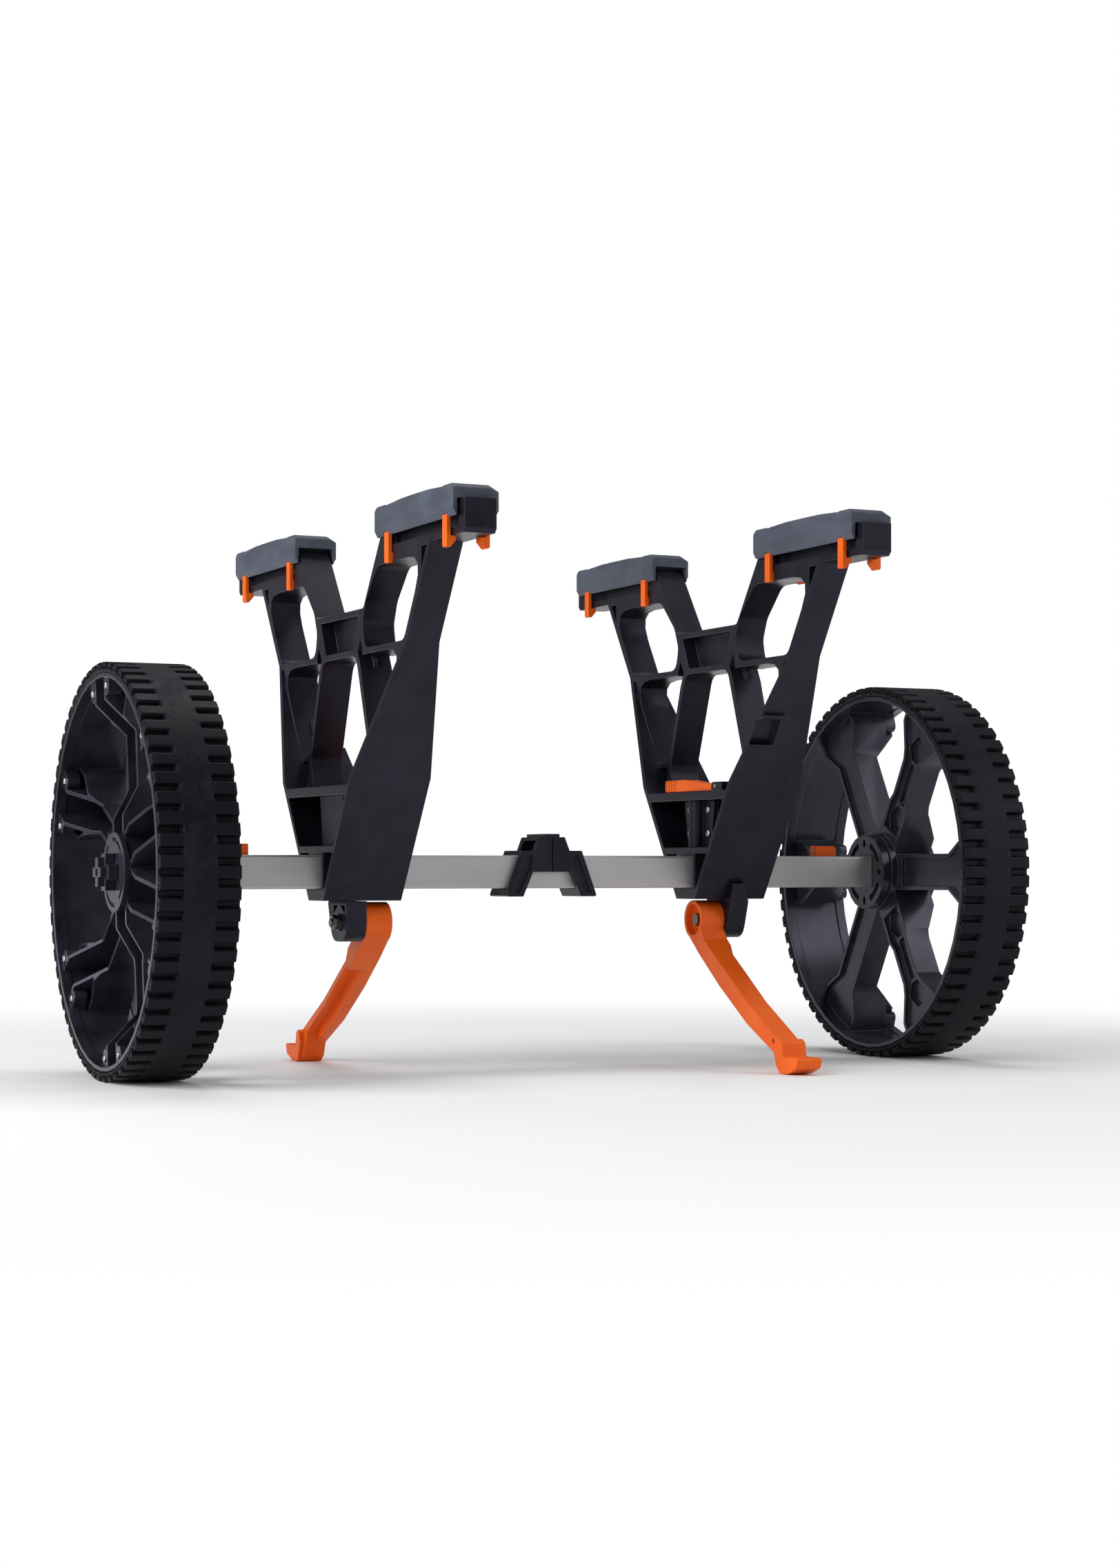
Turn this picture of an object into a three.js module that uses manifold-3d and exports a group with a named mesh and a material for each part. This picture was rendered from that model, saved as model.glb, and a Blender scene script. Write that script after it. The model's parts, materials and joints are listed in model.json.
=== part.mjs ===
// Kayak cart: two spoked wheels on a square axle tube, and two sliding trestles that carry the hull.
// Millimetres, +Z up, +X along the axle, origin on the ground under the middle of the cart.
// The right half of the cart is the left half turned half a turn about the vertical.

import * as THREE from 'three';
import * as BufferGeometryUtils from 'three/addons/utils/BufferGeometryUtils.js';
import Module from 'manifold-3d';

const wasm = await Module();
wasm.setup();

// Shared clearances
const touchGap = 0.3;
const cutOverrun = 1;

// How finely round shapes are cut
const fullTurn = 360;
const cornerSteps = 2;
const roundSteps = 4;
const arcSteps = 3;
const thinRodFacets = 8;
const smallRodFacets = 12;
const rodFacets = 16;
const largeRodFacets = 20;
const headFacets = 28;
const hexFacets = 6;

// Axle tube
const tubeSide = 25.4;
const tubeWall = 1.6;
const tubeCornerRadius = 1.6;

// Wheel
const wheelRadius = 152.4;
const wheelPlane = 321.7;
const tyreWidth = 58;
const tyreThickness = 7.4;
const lugCount = 64;
const lugRowWidth = 17;
const lugGapWidth = 6;
const lugGapFloor = 3.6;
const lugDepth = 4.4;
const rimWidth = 57.4;
const rimThickness = 2.4;
const rimLipHeight = 0.7;
const rimLipWidth = 8;
const tyreFacets = 64;
const rimFacets = 48;

// Spokes: places along the wheel's axis, radii from it near the hub, and depths in from the rim
const spokeCount = 6;
const leftSpokeTurn = 67;
const rightSpokeTurn = 30;
const spokeWidth = 29;
const spokeRib = 3;
const spokeWeb = 7.5;
const spokeBack = -18.7;
const spokeValley = 3.3;
const spokeTip = 25.3;
const dishInnerRadius = 40;
const dishValleyStart = 62;
const valleyRimDepth = 39.3;
const tipRimDepth = 17.3;
const spokeWaistHalf = 11.5;
const spokeWaistRise = 8;
const waistRimDepth = 42.3;
const footWidth = 54;
const footRimDepth = 34.3;
const footFullRimDepth = 15.3;
const footTip = 13;
const spokeSlotWidth = 8;
const spokeEyeStart = 38;
const spokeEyeEnd = 60;
const spokePocketDepth = 6.2;
const spokePanelDepth = 3;
const screwTabSpread = 18.5;
const screwTabDrop = 15;
const screwTabTopHalf = 7;
const screwTabBottomHalf = 4;
const screwTabDepth = 10;

// Hub, spindle and axle plug
const hubDiscRadius = 32;
const hubDiscWidth = 5.6;
const hubBarrelRadius = 24.5;
const hubFace = 15.3;
const hubFacets = 24;
const hubCapRadius = 29.5;
const hubCapWidth = 4;
const hubCapSlotRadius = 24;
const hubCapSlotWidth = 3;
const hubCapSlotDepth = 1.6;
const hubCapSlotSweep = 60;
const hubCapSlotCount = 4;
const spindleRadius = 10;
const spindleRunning = 0.3;
const flangeRadius = 30.5;
const flangeWidth = 7.4;
const flangeHoleCount = 4;
const flangeHoleCircle = 23.4;
const flangeHoleRadialHalf = 3.8;
const flangeHoleAcrossHalf = 2.4;
const flangeHoleDepth = 3;
const flangeSlotWidth = 4.6;
const flangeSlotSweep = 46;
const stubLength = 57;
const plugArm = 13.5;
const plugArmWidth = 11;
const plugStepLength = 7;
const plugTipArm = 10.5;
const plugTipWidth = 7;
const plugLength = 12;
const plugHollow = 5.5;

// Release button in the end of the tube
const buttonPlane = 250.5;
const buttonLength = 19;
const buttonWidth = 10;
const buttonProud = 8.4;
const buttonFlangeLip = 1.2;
const buttonFlangeSide = 2;
const buttonFlangeHeight = 6.5;
const buttonCorner = 3;
const buttonPocketDepth = 19.5;
const buttonSpringRadius = 3.4;
const buttonSpringWire = 0.5;
const buttonSpringTurns = 3;
const coilSteps = 8;
const wireSides = 4;

// Trestle frame, about the middle of the axle tube: X towards the cart's middle, Z up
const towerPlane = 155.5;
const baseHalfWidth = 31;
const trussHalfWidth = 12.5;
const flareStart = 69;
const flareEnd = 164;
const boxBottom = -21.6;
const boxHalfDepth = 16.4;
const wallLeanShare = 0.67;
const wallThickness = 4.8;
const guideWall = 3;
const ledgeTop = 19.5;
const shelfTop = 64;
const shelfThickness = 7;
const middleWeb = 4;
const ribThickness = 4.5;
const ribTop = 165;
const plateTop = 194.5;
const plateTopHalf = 52;
const plateBottomHalf = 35.5;
const plateInset = 5;
const plateWeb = 3;
const armTopDrop = 1.5;
const armProud = 1;
const armThickness = 5;

// Windows of the truss
const centreWindowTopHalf = 36.5;
const centreWindowWaistHalf = 65;
const centreWindowWaist = 84;
const centreWindowFootHalf = 57;
const legThickness = 4;
const sideWindowFloor = 90;
const windowRound = 11;
const windowLegRound = 7;
const slotRound = 16;
const upperWindowTop = 223;
const pocketRound = 1.5;

// Pad tray, pads and their clips
const trayBottom = 230;
const trayHeight = 23.5;
const trayHalfWidth = 11.7;
const trayStart = 95.5;
const trayEnd = 247;
const trayFlange = 5.2;
const trayRecess = 6;
const trayEndBox = 11;
const trayChamfer = 3;
const padOverhang = 7;
const padEndInset = 7.5;
const padHalfWidth = 17.3;
const padCrown = 10.5;
const padDrop = 11.5;
const padUnderChamfer = 5;
const padUnderStep = 2.8;
const padEdge = 4.4;
const padLipInside = 12.6;
const padEndChamfer = 4;
const clipInnerInset = 20.5;
const clipOuterInset = 18.5;
const clipWidth = 8;
const clipThickness = 3;
const clipOutside = 16;
const clipDrop = 8;
const clipHookReach = 7;
const clipHookHeight = 3;
const clipBridge = 1.6;

// Latch: cover, lever, pin and sprung plunger
const housingInset = 15.5;
const housingBack = 18.5;
const housingTopHalf = 26;
const housingBottomHalf = 20;
const coverThickness = 2.7;
const plungerInset = 10.5;
const bossRadius = 7;
const boreRadius = 5.6;
const plungerRadius = 4.2;
const plungerCollarRadius = 5;
const plungerCollarBottom = 31;
const plungerCollarHeight = 3;
const stemRadius = 2;
const stemRunning = 0.4;
const plungerHeadRadius = 4;
const plungerHeadBottom = 67.1;
const plungerHeadHeight = 2;
const plungerSpringRadius = 3.6;
const plungerSpringWire = 0.6;
const plungerSpringTurns = 6;
const leverInset = 0.5;
const leverWidth = 12;
const leverRootInset = 3.3;
const leverRootWidth = 5.7;
const leverGripEnd = -37;
const leverGripLength = 27;
const leverGripTop = 73.6;
const leverRootTop = 69.6;
const leverNeck = 30;
const leverPinPlace = 50;
const leverPinHeight = 67.5;
const leverPinRadius = 1.5;
const leverRootRadius = 3.2;
const leverSkin = 1.7;
const leverSlotHeight = 4.8;
const leverSlotHalf = 5.8;
const leverNeckSlotHalf = 3.8;
const leverGroovePitch = 4;
const leverGrooveWidth = 1.4;
const leverGrooveDepth = 1;
const leverGrooveCount = 5;
const earThickness = 3;
const earStart = 44.5;
const earEnd = 62;
const earTop = 70.6;
const earWallStart = 55;

// Kickstand, its bracket, bolt, washer and nut
const pivotHeight = -38;
const bracketHalfDepth = 30;
const bracketTop = -9;
const bracketFootHalf = 15.5;
const bracketBottom = -52.5;
const bracketRound = 14;
const bracketBack = -12.5;
const bracketSlopeStart = -24;
const bracketTopBack = -7.5;
const bracketFace = 3.5;
const bracketPocketDepth = 6;
const bracketPocketRib = 3;
const kickstandReach = 170;
const kickstandFace = 24.5;
const kickstandHeadRadius = 15.3;
const kickstandRecessRadius = 12.4;
const kickstandRecessDepth = 6;
const kickstandHoleRadius = 3.3;
const legStepDepth = 3.8;
const legScoopDepth = 13;
const kickstandEyeRadius = 2;
const kickstandEyeDepth = 4;
const boltRadius = 3;
const boltHeadRadius = 5;
const boltHeadHeight = 4;
const boltOverhang = 1.4;
const washerRadius = 6.6;
const washerThickness = 1.4;
const nutRadius = 5.8;
const nutHeight = 4;
const notchBottom = 98;
const notchTop = 117;
const notchSide = 4;
const notchShelf = 2.6;
const notchShelfReach = 3.5;
const notchDepth = 7;
const notchWall = 2.4;

// Centre bracket on the tube
const saddleHalfDepth = 18;
const saddleFootHalf = 38;
const saddleFootInner = 24.5;
const saddleBottom = -19;
const saddleArchHalf = 16.3;
const saddleArchTop = 0;
const saddleShoulderHalf = 25;
const saddleShoulder = 16.5;
const saddleNeckHalf = 14.6;
const saddleNeckTopHalf = 10.5;
const saddleNeckTop = 27;
const saddleCapHalf = 6;
const saddleCapTop = 29.5;
const saddleSocketHalf = 12;
const saddleSocketTop = 24.5;
const saddleSocketMiddle = 3;
const saddleLegRecess = 2;
const saddleLegMargin = 3;
const saddleSeamWidth = 1.6;
const saddleSeamDepth = 1.6;

// Outlines of the kickstand's leg and of the hollows in it. Each point is a share of the kickstand's
// reach out, a share of its drop and a share of its reach as the corner's radius.
const legShares = [
  [-0.079, -0.052, 0.012],
  [-0.062, -0.092, 0.024],
  [0.062, -0.236, 0.059],
  [0.265, -0.446, 0.059],
  [0.541, -0.691, 0.059],
  [0.794, -0.861, 0.012],
  [0.818, -0.953, 0.024],
  [0.853, -0.998, 0.018],
  [0.924, -0.994, 0.018],
  [1, -0.953, 0.012],
  [1.015, -0.905, 0.012],
  [1.012, -0.883, 0.009],
  [0.876, -0.887, 0.009],
  [0.865, -0.795, 0.012],
  [0.541, -0.546, 0.059],
  [0.353, -0.367, 0.059],
  [0.176, -0.201, 0.047],
  [0.118, -0.14, 0.029],
  [0.079, -0.052, 0.012],
];
const legStepShares = [
  [0.129, -0.105, 0.012],
  [0.182, -0.262, 0.024],
  [0.212, -0.455, 0.012],
  [0.882, -1.11, 0.012],
  [0.812, -0.865, 0.018],
  [0.824, -0.787, 0.018],
  [0.894, -0.717, 0.012],
  [0.541, -0.455, 0.012],
  [0.235, -0.105, 0.012],
];
const legScoopShares = [
  [0.153, -0.245, 0.018],
  [0.141, -0.402, 0.012],
  [0.706, -0.979, 0.012],
  [0.782, -0.874, 0.012],
  [0.771, -0.782, 0.024],
  [0.529, -0.586, 0.047],
  [0.347, -0.406, 0.047],
  [0.194, -0.262, 0.024],
];
const legEyeShares = [0.79, -0.787];

// Sizes that follow from those above
const tubeHalf = tubeSide / 2;
const tubeInside = tubeHalf - tubeWall;
const tunnelHalf = tubeHalf + touchGap;
const tyreInside = wheelRadius - tyreThickness;
const rimOutside = tyreInside - touchGap;
const rimInside = rimOutside - rimThickness;
const wallAt = (height) => boxHalfDepth + wallLeanShare * (height - boxBottom);
const wallInsideAt = (height) => wallAt(height) - wallThickness;
const trayTop = trayBottom + trayHeight;
const armTop = trayTop - armTopDrop;
const armTopPlace = trayStart - armProud;
const padStart = trayStart - padOverhang;
const padEnd = trayEnd - padEndInset;
const padTop = trayTop + padCrown;
const padSideBottom = trayTop - padDrop;
const clipPlaces = [padStart + clipInnerInset, padEnd - clipOuterInset];
const clipBottom = trayBottom - clipDrop;
const armLean = (armTopPlace - plateTopHalf) / (armTop - plateTop);
const armAt = (height) => plateTopHalf + armLean * (height - plateTop);
const shelfBottom = shelfTop - shelfThickness;
const housingFace = baseHalfWidth - housingInset;
const plungerPlace = baseHalfWidth - plungerInset;
const leverOutside = baseHalfWidth - leverInset;
const leverInside = leverOutside - leverWidth;
const leverRootOutside = baseHalfWidth - leverRootInset;
const leverRootInside = leverRootOutside - leverRootWidth;
const flangeFace = wheelPlane + spokeBack - hubDiscWidth - touchGap;
const tubeEnd = flangeFace - flangeWidth - touchGap;
const kickstandDrop = wheelRadius + pivotHeight;
const windowTop = ribTop - ribThickness;
const legLean = (centreWindowWaistHalf - centreWindowTopHalf) / (windowTop - centreWindowWaist);
const legAt = (height) => centreWindowTopHalf + legThickness + legLean * (windowTop - height);

// Solids from three.js geometries, and back again
function solidOf(geometry) {
  geometry.deleteAttribute('normal');
  geometry.deleteAttribute('uv');
  const merged = BufferGeometryUtils.mergeVertices(geometry);
  const mesh = new wasm.Mesh({
    numProp: 3,
    vertProperties: merged.attributes.position.array,
    triVerts: new Uint32Array(merged.index.array),
  });
  return new wasm.Manifold(mesh);
}

function geometryOf(solid) {
  const mesh = solid.getMesh();
  const geometry = new THREE.BufferGeometry();
  geometry.setAttribute('position', new THREE.BufferAttribute(mesh.vertProperties, 3));
  geometry.setIndex(new THREE.BufferAttribute(mesh.triVerts, 1));
  return geometry;
}

function join(...solids) {
  return solids.reduce((whole, piece) => whole.add(piece));
}

function cut(whole, ...tools) {
  return tools.reduce((rest, tool) => rest.subtract(tool), whole);
}

// A closed outline through [across, up, corner radius] points
function outline(points, roundness = 0) {
  const shape = new THREE.Shape();
  const corners = points.map(([across, up]) => new THREE.Vector2(across, up));
  corners.forEach((corner, index) => {
    const before = corners.at(index - 1).clone().sub(corner);
    const after = corners[(index + 1) % corners.length].clone().sub(corner);
    const radius = points[index][2] ?? roundness;
    const wanted = radius / Math.tan(before.angleTo(after) / 2);
    const reach = Math.min(wanted, before.length() / 2, after.length() / 2);
    const start = before.setLength(reach).add(corner);
    const end = after.setLength(reach).add(corner);
    if (index === 0) {
      shape.moveTo(start.x, start.y);
    } else {
      shape.lineTo(start.x, start.y);
    }
    if (reach > 0) {
      shape.quadraticCurveTo(corner.x, corner.y, end.x, end.y);
    }
  });
  shape.closePath();
  return shape;
}

function mirrored(halfPoints) {
  const other = halfPoints.map(([across, up, radius]) => [-across, up, radius]);
  return [...halfPoints, ...other.reverse()];
}

function extruded(shape, depth, curveSegments) {
  return new THREE.ExtrudeGeometry(shape, { depth, bevelEnabled: false, curveSegments });
}

// The three plates take a shape in the plane square to the named axis
function plateX(shape, from, to, steps = cornerSteps) {
  const geometry = extruded(shape, to - from, steps);
  const turn = new THREE.Matrix4().makeBasis(
    new THREE.Vector3(0, 1, 0),
    new THREE.Vector3(0, 0, 1),
    new THREE.Vector3(1, 0, 0),
  );
  geometry.applyMatrix4(turn);
  geometry.translate(from, 0, 0);
  return solidOf(geometry);
}

function plateY(shape, from, to, steps = cornerSteps) {
  const geometry = extruded(shape, to - from, steps);
  geometry.rotateX(Math.PI / 2);
  geometry.translate(0, to, 0);
  return solidOf(geometry);
}

function plateZ(shape, from, to, steps = cornerSteps) {
  const geometry = extruded(shape, to - from, steps);
  geometry.translate(0, 0, from);
  return solidOf(geometry);
}

function block(alongX, alongY, alongZ) {
  const size = [alongX, alongY, alongZ].map(([low, high]) => high - low);
  const middle = [alongX, alongY, alongZ].map(([low, high]) => (low + high) / 2);
  const geometry = new THREE.BoxGeometry(...size);
  geometry.translate(...middle);
  return solidOf(geometry);
}

function rodX(radius, from, to, place = [0, 0], facets = rodFacets) {
  const geometry = new THREE.CylinderGeometry(radius, radius, to - from, facets);
  geometry.rotateZ(-Math.PI / 2);
  geometry.translate((from + to) / 2, place[0], place[1]);
  return solidOf(geometry);
}

function rodZ(radius, from, to, place = [0, 0], facets = rodFacets) {
  const geometry = new THREE.CylinderGeometry(radius, radius, to - from, facets);
  geometry.rotateX(Math.PI / 2);
  geometry.translate(place[0], place[1], (from + to) / 2);
  return solidOf(geometry);
}

// A ring about X from a closed profile of [radius, along] points
function ringX(profile, facets) {
  const points = [...profile, profile[0]].map(([radius, along]) => new THREE.Vector2(radius, along));
  const geometry = new THREE.LatheGeometry(points, facets);
  geometry.rotateZ(-Math.PI / 2);
  return solidOf(geometry);
}

function turnedX(solid, degrees) {
  return solid.rotate([degrees, 0, 0]);
}

// Wheel, about its own centre with its outer side towards +X
function tyre() {
  const half = tyreWidth / 2;
  const ring = ringX([
    [tyreInside, -half],
    [wheelRadius, -half],
    [wheelRadius, half],
    [tyreInside, half],
  ], tyreFacets);
  return cut(ring, lugGaps(half, 0), lugGaps(-half, 1 / 2));
}

// The gaps of one row of lugs open at the sidewall and end at the smooth middle band
function lugGaps(side, stagger) {
  const gap = outline([
    [-lugGapFloor / 2, wheelRadius - lugDepth],
    [lugGapFloor / 2, wheelRadius - lugDepth],
    [lugGapWidth / 2, wheelRadius + cutOverrun],
    [-lugGapWidth / 2, wheelRadius + cutOverrun],
  ]);
  const inner = side - Math.sign(side) * lugRowWidth;
  const outer = side + Math.sign(side) * cutOverrun;
  const one = plateX(gap, Math.min(inner, outer), Math.max(inner, outer));
  return join(...around(one, lugCount, stagger * fullTurn / lugCount));
}

function rim() {
  const half = rimWidth / 2;
  const lipRadius = rimInside - rimLipHeight;
  const lipEnd = half - rimLipWidth;
  const barrel = ringX([
    [lipRadius, -half],
    [rimOutside, -half],
    [rimOutside, half],
    [lipRadius, half],
    [lipRadius, lipEnd],
    [rimInside, lipEnd - rimLipHeight],
    [rimInside, rimLipHeight - lipEnd],
    [lipRadius, -lipEnd],
  ], rimFacets);
  const boreWall = spindleRadius + spindleRunning;
  const hub = ringX([
    [boreWall, spokeBack - hubDiscWidth],
    [hubDiscRadius, spokeBack - hubDiscWidth],
    [hubDiscRadius, spokeBack],
    [hubBarrelRadius, spokeBack],
    [hubBarrelRadius, hubFace],
    [boreWall, hubFace],
  ], hubFacets);
  const spokes = [];
  for (let index = 0; index < spokeCount; index += 1) {
    spokes.push(turnedX(spoke(index % 2 === 0), index * fullTurn / spokeCount));
  }
  const bore = rodX(boreWall, -tyreWidth, tyreWidth, [0, 0], hubFacets);
  return join(barrel, hub, cut(join(...spokes), bore));
}

// One dished spoke that points up: two ribs on a web, and a foot that flares to the rim
function spoke(isSlotted) {
  const root = hubBarrelRadius - cutOverrun;
  const end = (rimInside + rimOutside) / 2;
  const reach = footWidth / 2 + cutOverrun;
  const front = [spokeBack + spokeWeb, spokeTip + cutOverrun];
  const edge = ribEdge(isSlotted, 0, root);
  const beam = outline(mirrored([...edge, [spokeWidth / 2, end]]));
  const flared = outline(mirrored([...edge, ...footEdge(0, end)]));
  const channel = outline(mirrored([
    ...ribEdge(isSlotted, spokeRib, hubBarrelRadius + spokeRib),
    [spokeWidth / 2 - spokeRib, rimInside],
  ]));
  const dished = join(plateX(beam, spokeBack, spokeTip), plateX(flared, spokeBack, footTip))
    .intersect(plateY(dish(root, end), -reach, reach));
  const opened = cut(dished, plateX(channel, ...front), ...bothSides(footPocket(), ...front));
  const inRing = rodX(end, spokeBack, spokeTip, [0, 0], rimFacets);
  const body = join(opened, ...screwTabs()).intersect(inRing);
  const holes = isSlotted ? spokeHoles() : [];
  return cut(body, spokePanel(isSlotted, end), ...holes);
}

// Side view of a spoke: out along the hub, through the dish's valley and up to the outer lip
function dish(root, end) {
  return outline([
    [spokeBack, root],
    [hubFace, root],
    [hubFace, dishInnerRadius],
    [spokeValley, dishValleyStart],
    [spokeValley, rimInside - valleyRimDepth],
    [spokeTip, rimInside - tipRimDepth],
    [spokeTip, end],
    [spokeBack, end],
  ]);
}

// One edge of a spoke seen along the axle, drawn in by a wall. A slotted spoke has a waist.
function ribEdge(isSlotted, wall, start) {
  const half = spokeWidth / 2 - wall;
  const waist = isSlotted ? spokeWaistHalf - wall : half;
  return [
    [half, start],
    [half, spokeEyeEnd],
    [waist, spokeEyeEnd + spokeWaistRise],
    [waist, rimInside - waistRimDepth],
    [half, rimInside - footRimDepth],
  ];
}

function footEdge(wall, end) {
  const half = footWidth / 2 - wall;
  return [
    [half, rimInside - footFullRimDepth],
    [half, end],
  ];
}

// The pocket between a rib and the flared wall of the foot
function footPocket() {
  const half = spokeWidth / 2;
  const inner = footWidth / 2 - spokeRib;
  const flare = (footRimDepth - footFullRimDepth) / (footWidth / 2 - half);
  return [
    [half, rimInside - footRimDepth + spokeRib * flare],
    [inner, rimInside - footFullRimDepth],
    [inner, rimInside],
    [half, rimInside],
  ];
}

// A tab beside each rib takes a screw, on the outer lip
function screwTabs() {
  const bottom = rimInside - screwTabDrop;
  const tab = [
    [screwTabSpread - screwTabTopHalf, rimInside],
    [screwTabSpread - screwTabBottomHalf, bottom, screwTabBottomHalf],
    [screwTabSpread + screwTabBottomHalf, bottom, screwTabBottomHalf],
    [screwTabSpread + screwTabTopHalf, rimInside],
  ];
  return bothSides(tab, spokeTip - screwTabDepth, spokeTip);
}

// The shallow recess between the ribs on the spoke's inner side
function spokePanel(isSlotted, end) {
  const edge = [...ribEdge(isSlotted, spokeRib, spokeEyeStart), ...footEdge(spokeRib, end)];
  return plateX(outline(mirrored(edge)), spokeBack - cutOverrun, spokeBack + spokePanelDepth);
}

// A six-sided pocket by the hub, a slot through the web and a second pocket by the foot
function spokeHoles() {
  const slotHalf = spokeSlotWidth / 2;
  const eyeHalf = spokeWidth / 2 - spokeRib;
  const slotEnd = rimInside - waistRimDepth;
  const eye = mirrored([
    [slotHalf, spokeEyeStart],
    [eyeHalf, (spokeEyeStart + spokeEyeEnd) / 2],
    [slotHalf, spokeEyeEnd],
  ]);
  const slot = mirrored([
    [slotHalf, spokeEyeEnd + spokeRib],
    [slotHalf, slotEnd],
  ]);
  const footHollow = mirrored([
    [slotHalf, slotEnd + spokeRib],
    [eyeHalf, rimInside - footRimDepth + spokeRib],
    [slotHalf, rimInside - footFullRimDepth - spokeRib],
  ]);
  const blind = [spokeBack - cutOverrun, spokeBack + spokePocketDepth];
  return [
    plateX(outline(eye), ...blind),
    plateX(outline(slot, slotHalf / 2), spokeBack - cutOverrun, spokeBack + spokeWeb + cutOverrun),
    plateX(outline(footHollow), ...blind),
  ];
}

function hubCap() {
  const inner = hubFace + touchGap;
  const outer = inner + hubCapWidth;
  const disc = ringX([
    [spindleRadius + spindleRunning, inner],
    [hubCapRadius, inner],
    [hubCapRadius, outer],
    [spindleRadius + spindleRunning, outer],
  ], hubFacets);
  const depth = [outer - hubCapSlotDepth, outer + cutOverrun];
  const slot = arcSlot(hubCapSlotRadius, hubCapSlotWidth, hubCapSlotSweep, ...depth);
  return cut(disc, ...around(slot, hubCapSlotCount));
}

// A curved slot about X that opens towards +Y
function arcSlot(radius, width, sweep, from, to) {
  const half = THREE.MathUtils.degToRad(sweep / 2);
  const shape = new THREE.Shape();
  shape.absarc(0, 0, radius + width / 2, -half, half, false);
  shape.absarc(0, 0, radius - width / 2, half, -half, true);
  return plateX(shape, from, to, arcSteps);
}

// Copies of a solid spread evenly about X
function around(solid, count, firstDegrees = 0) {
  const copies = [];
  for (let index = 0; index < count; index += 1) {
    copies.push(turnedX(solid, firstDegrees + index * fullTurn / count));
  }
  return copies;
}

// The spindle stands still in the tube, and the wheel turns on it
function spindle() {
  const inner = spokeBack - hubDiscWidth - touchGap;
  const outer = hubFace + touchGap + hubCapWidth + touchGap;
  const turned = solidOf(new THREE.LatheGeometry([
    new THREE.Vector2(0, inner - flangeWidth),
    new THREE.Vector2(flangeRadius, inner - flangeWidth),
    new THREE.Vector2(flangeRadius, inner),
    new THREE.Vector2(spindleRadius, inner),
    new THREE.Vector2(spindleRadius, outer),
    new THREE.Vector2(0, outer),
  ], hubFacets).rotateZ(-Math.PI / 2));
  const face = [inner - flangeWidth - cutOverrun, inner - flangeWidth + flangeHoleDepth];
  const hole = new THREE.Shape();
  hole.absellipse(flangeHoleCircle, 0, flangeHoleRadialHalf, flangeHoleAcrossHalf, 0, 2 * Math.PI);
  const slot = arcSlot(flangeHoleCircle, flangeSlotWidth, flangeSlotSweep, ...face);
  const openings = [
    ...around(plateX(hole, ...face, arcSteps), flangeHoleCount),
    ...around(slot, flangeHoleCount, fullTurn / flangeHoleCount / 2),
  ];
  const stubHalf = tubeInside - touchGap;
  const stub = block(
    [inner - flangeWidth - stubLength, inner - flangeWidth + cutOverrun],
    [-stubHalf, stubHalf],
    [-stubHalf, stubHalf],
  );
  return cut(join(cut(turned, ...openings), stub), buttonPocket(stubHalf));
}

function buttonPocket(top) {
  const middle = buttonPlane - wheelPlane;
  const halfLength = buttonLength / 2 + buttonFlangeLip + touchGap;
  const halfWidth = buttonWidth / 2 + buttonFlangeSide + touchGap;
  return block(
    [middle - halfLength, middle + halfLength],
    [-halfWidth, halfWidth],
    [top - buttonPocketDepth, top + cutOverrun],
  );
}

// The plug on the spindle's end keeps the wheel on
function axlePlug() {
  const face = hubFace + touchGap + hubCapWidth + touchGap + touchGap;
  const step = face + plugStepLength;
  const base = join(
    block([face, step], [-plugArm, plugArm], [-plugArmWidth / 2, plugArmWidth / 2]),
    block([face, step], [-plugArmWidth / 2, plugArmWidth / 2], [-plugArm, plugArm]),
  );
  const tip = join(
    block([step, face + plugLength], [-plugTipArm, plugTipArm], [-plugTipWidth / 2, plugTipWidth / 2]),
    block([step, face + plugLength], [-plugTipWidth / 2, plugTipWidth / 2], [-plugTipArm, plugTipArm]),
  );
  const hollow = block(
    [step, face + plugLength + cutOverrun],
    [-plugHollow / 2, plugHollow / 2],
    [-plugHollow / 2, plugHollow / 2],
  );
  return cut(join(base, tip), hollow);
}

// Release button, about the tube's axis with the tube's end towards +X
function releaseButton() {
  const ceiling = tubeInside - touchGap;
  const half = buttonLength / 2;
  const flange = block(
    [-half - buttonFlangeLip, half + buttonFlangeLip],
    [-buttonWidth / 2 - buttonFlangeSide, buttonWidth / 2 + buttonFlangeSide],
    [ceiling - buttonFlangeHeight, ceiling],
  );
  const tab = outline([
    [-half, ceiling - buttonFlangeHeight],
    [half, ceiling - buttonFlangeHeight],
    [half, tubeHalf + buttonProud, buttonCorner],
    [-half, tubeHalf + buttonProud, buttonCorner / 3],
  ]);
  return join(flange, plateY(tab, -buttonWidth / 2, buttonWidth / 2));
}

// A closed-end coil spring standing on Z from low to high
class Helix extends THREE.Curve {
  constructor(radius, low, high, turns) {
    super();
    Object.assign(this, { radius, low, high, turns });
  }

  getPoint(share, target = new THREE.Vector3()) {
    const angle = share * this.turns * 2 * Math.PI;
    const height = this.low + share * (this.high - this.low);
    return target.set(this.radius * Math.cos(angle), this.radius * Math.sin(angle), height);
  }
}

function coilSpring(radius, wire, low, high, turns) {
  const section = new THREE.Shape();
  section.absarc(0, 0, wire, 0, 2 * Math.PI);
  const path = new Helix(radius, low + wire, high - wire, turns);
  const geometry = new THREE.ExtrudeGeometry(section, {
    steps: turns * coilSteps,
    curveSegments: wireSides / 2,
    bevelEnabled: false,
    extrudePath: path,
  });
  geometry.deleteAttribute('normal');
  geometry.deleteAttribute('uv');
  return BufferGeometryUtils.mergeVertices(geometry);
}

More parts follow.
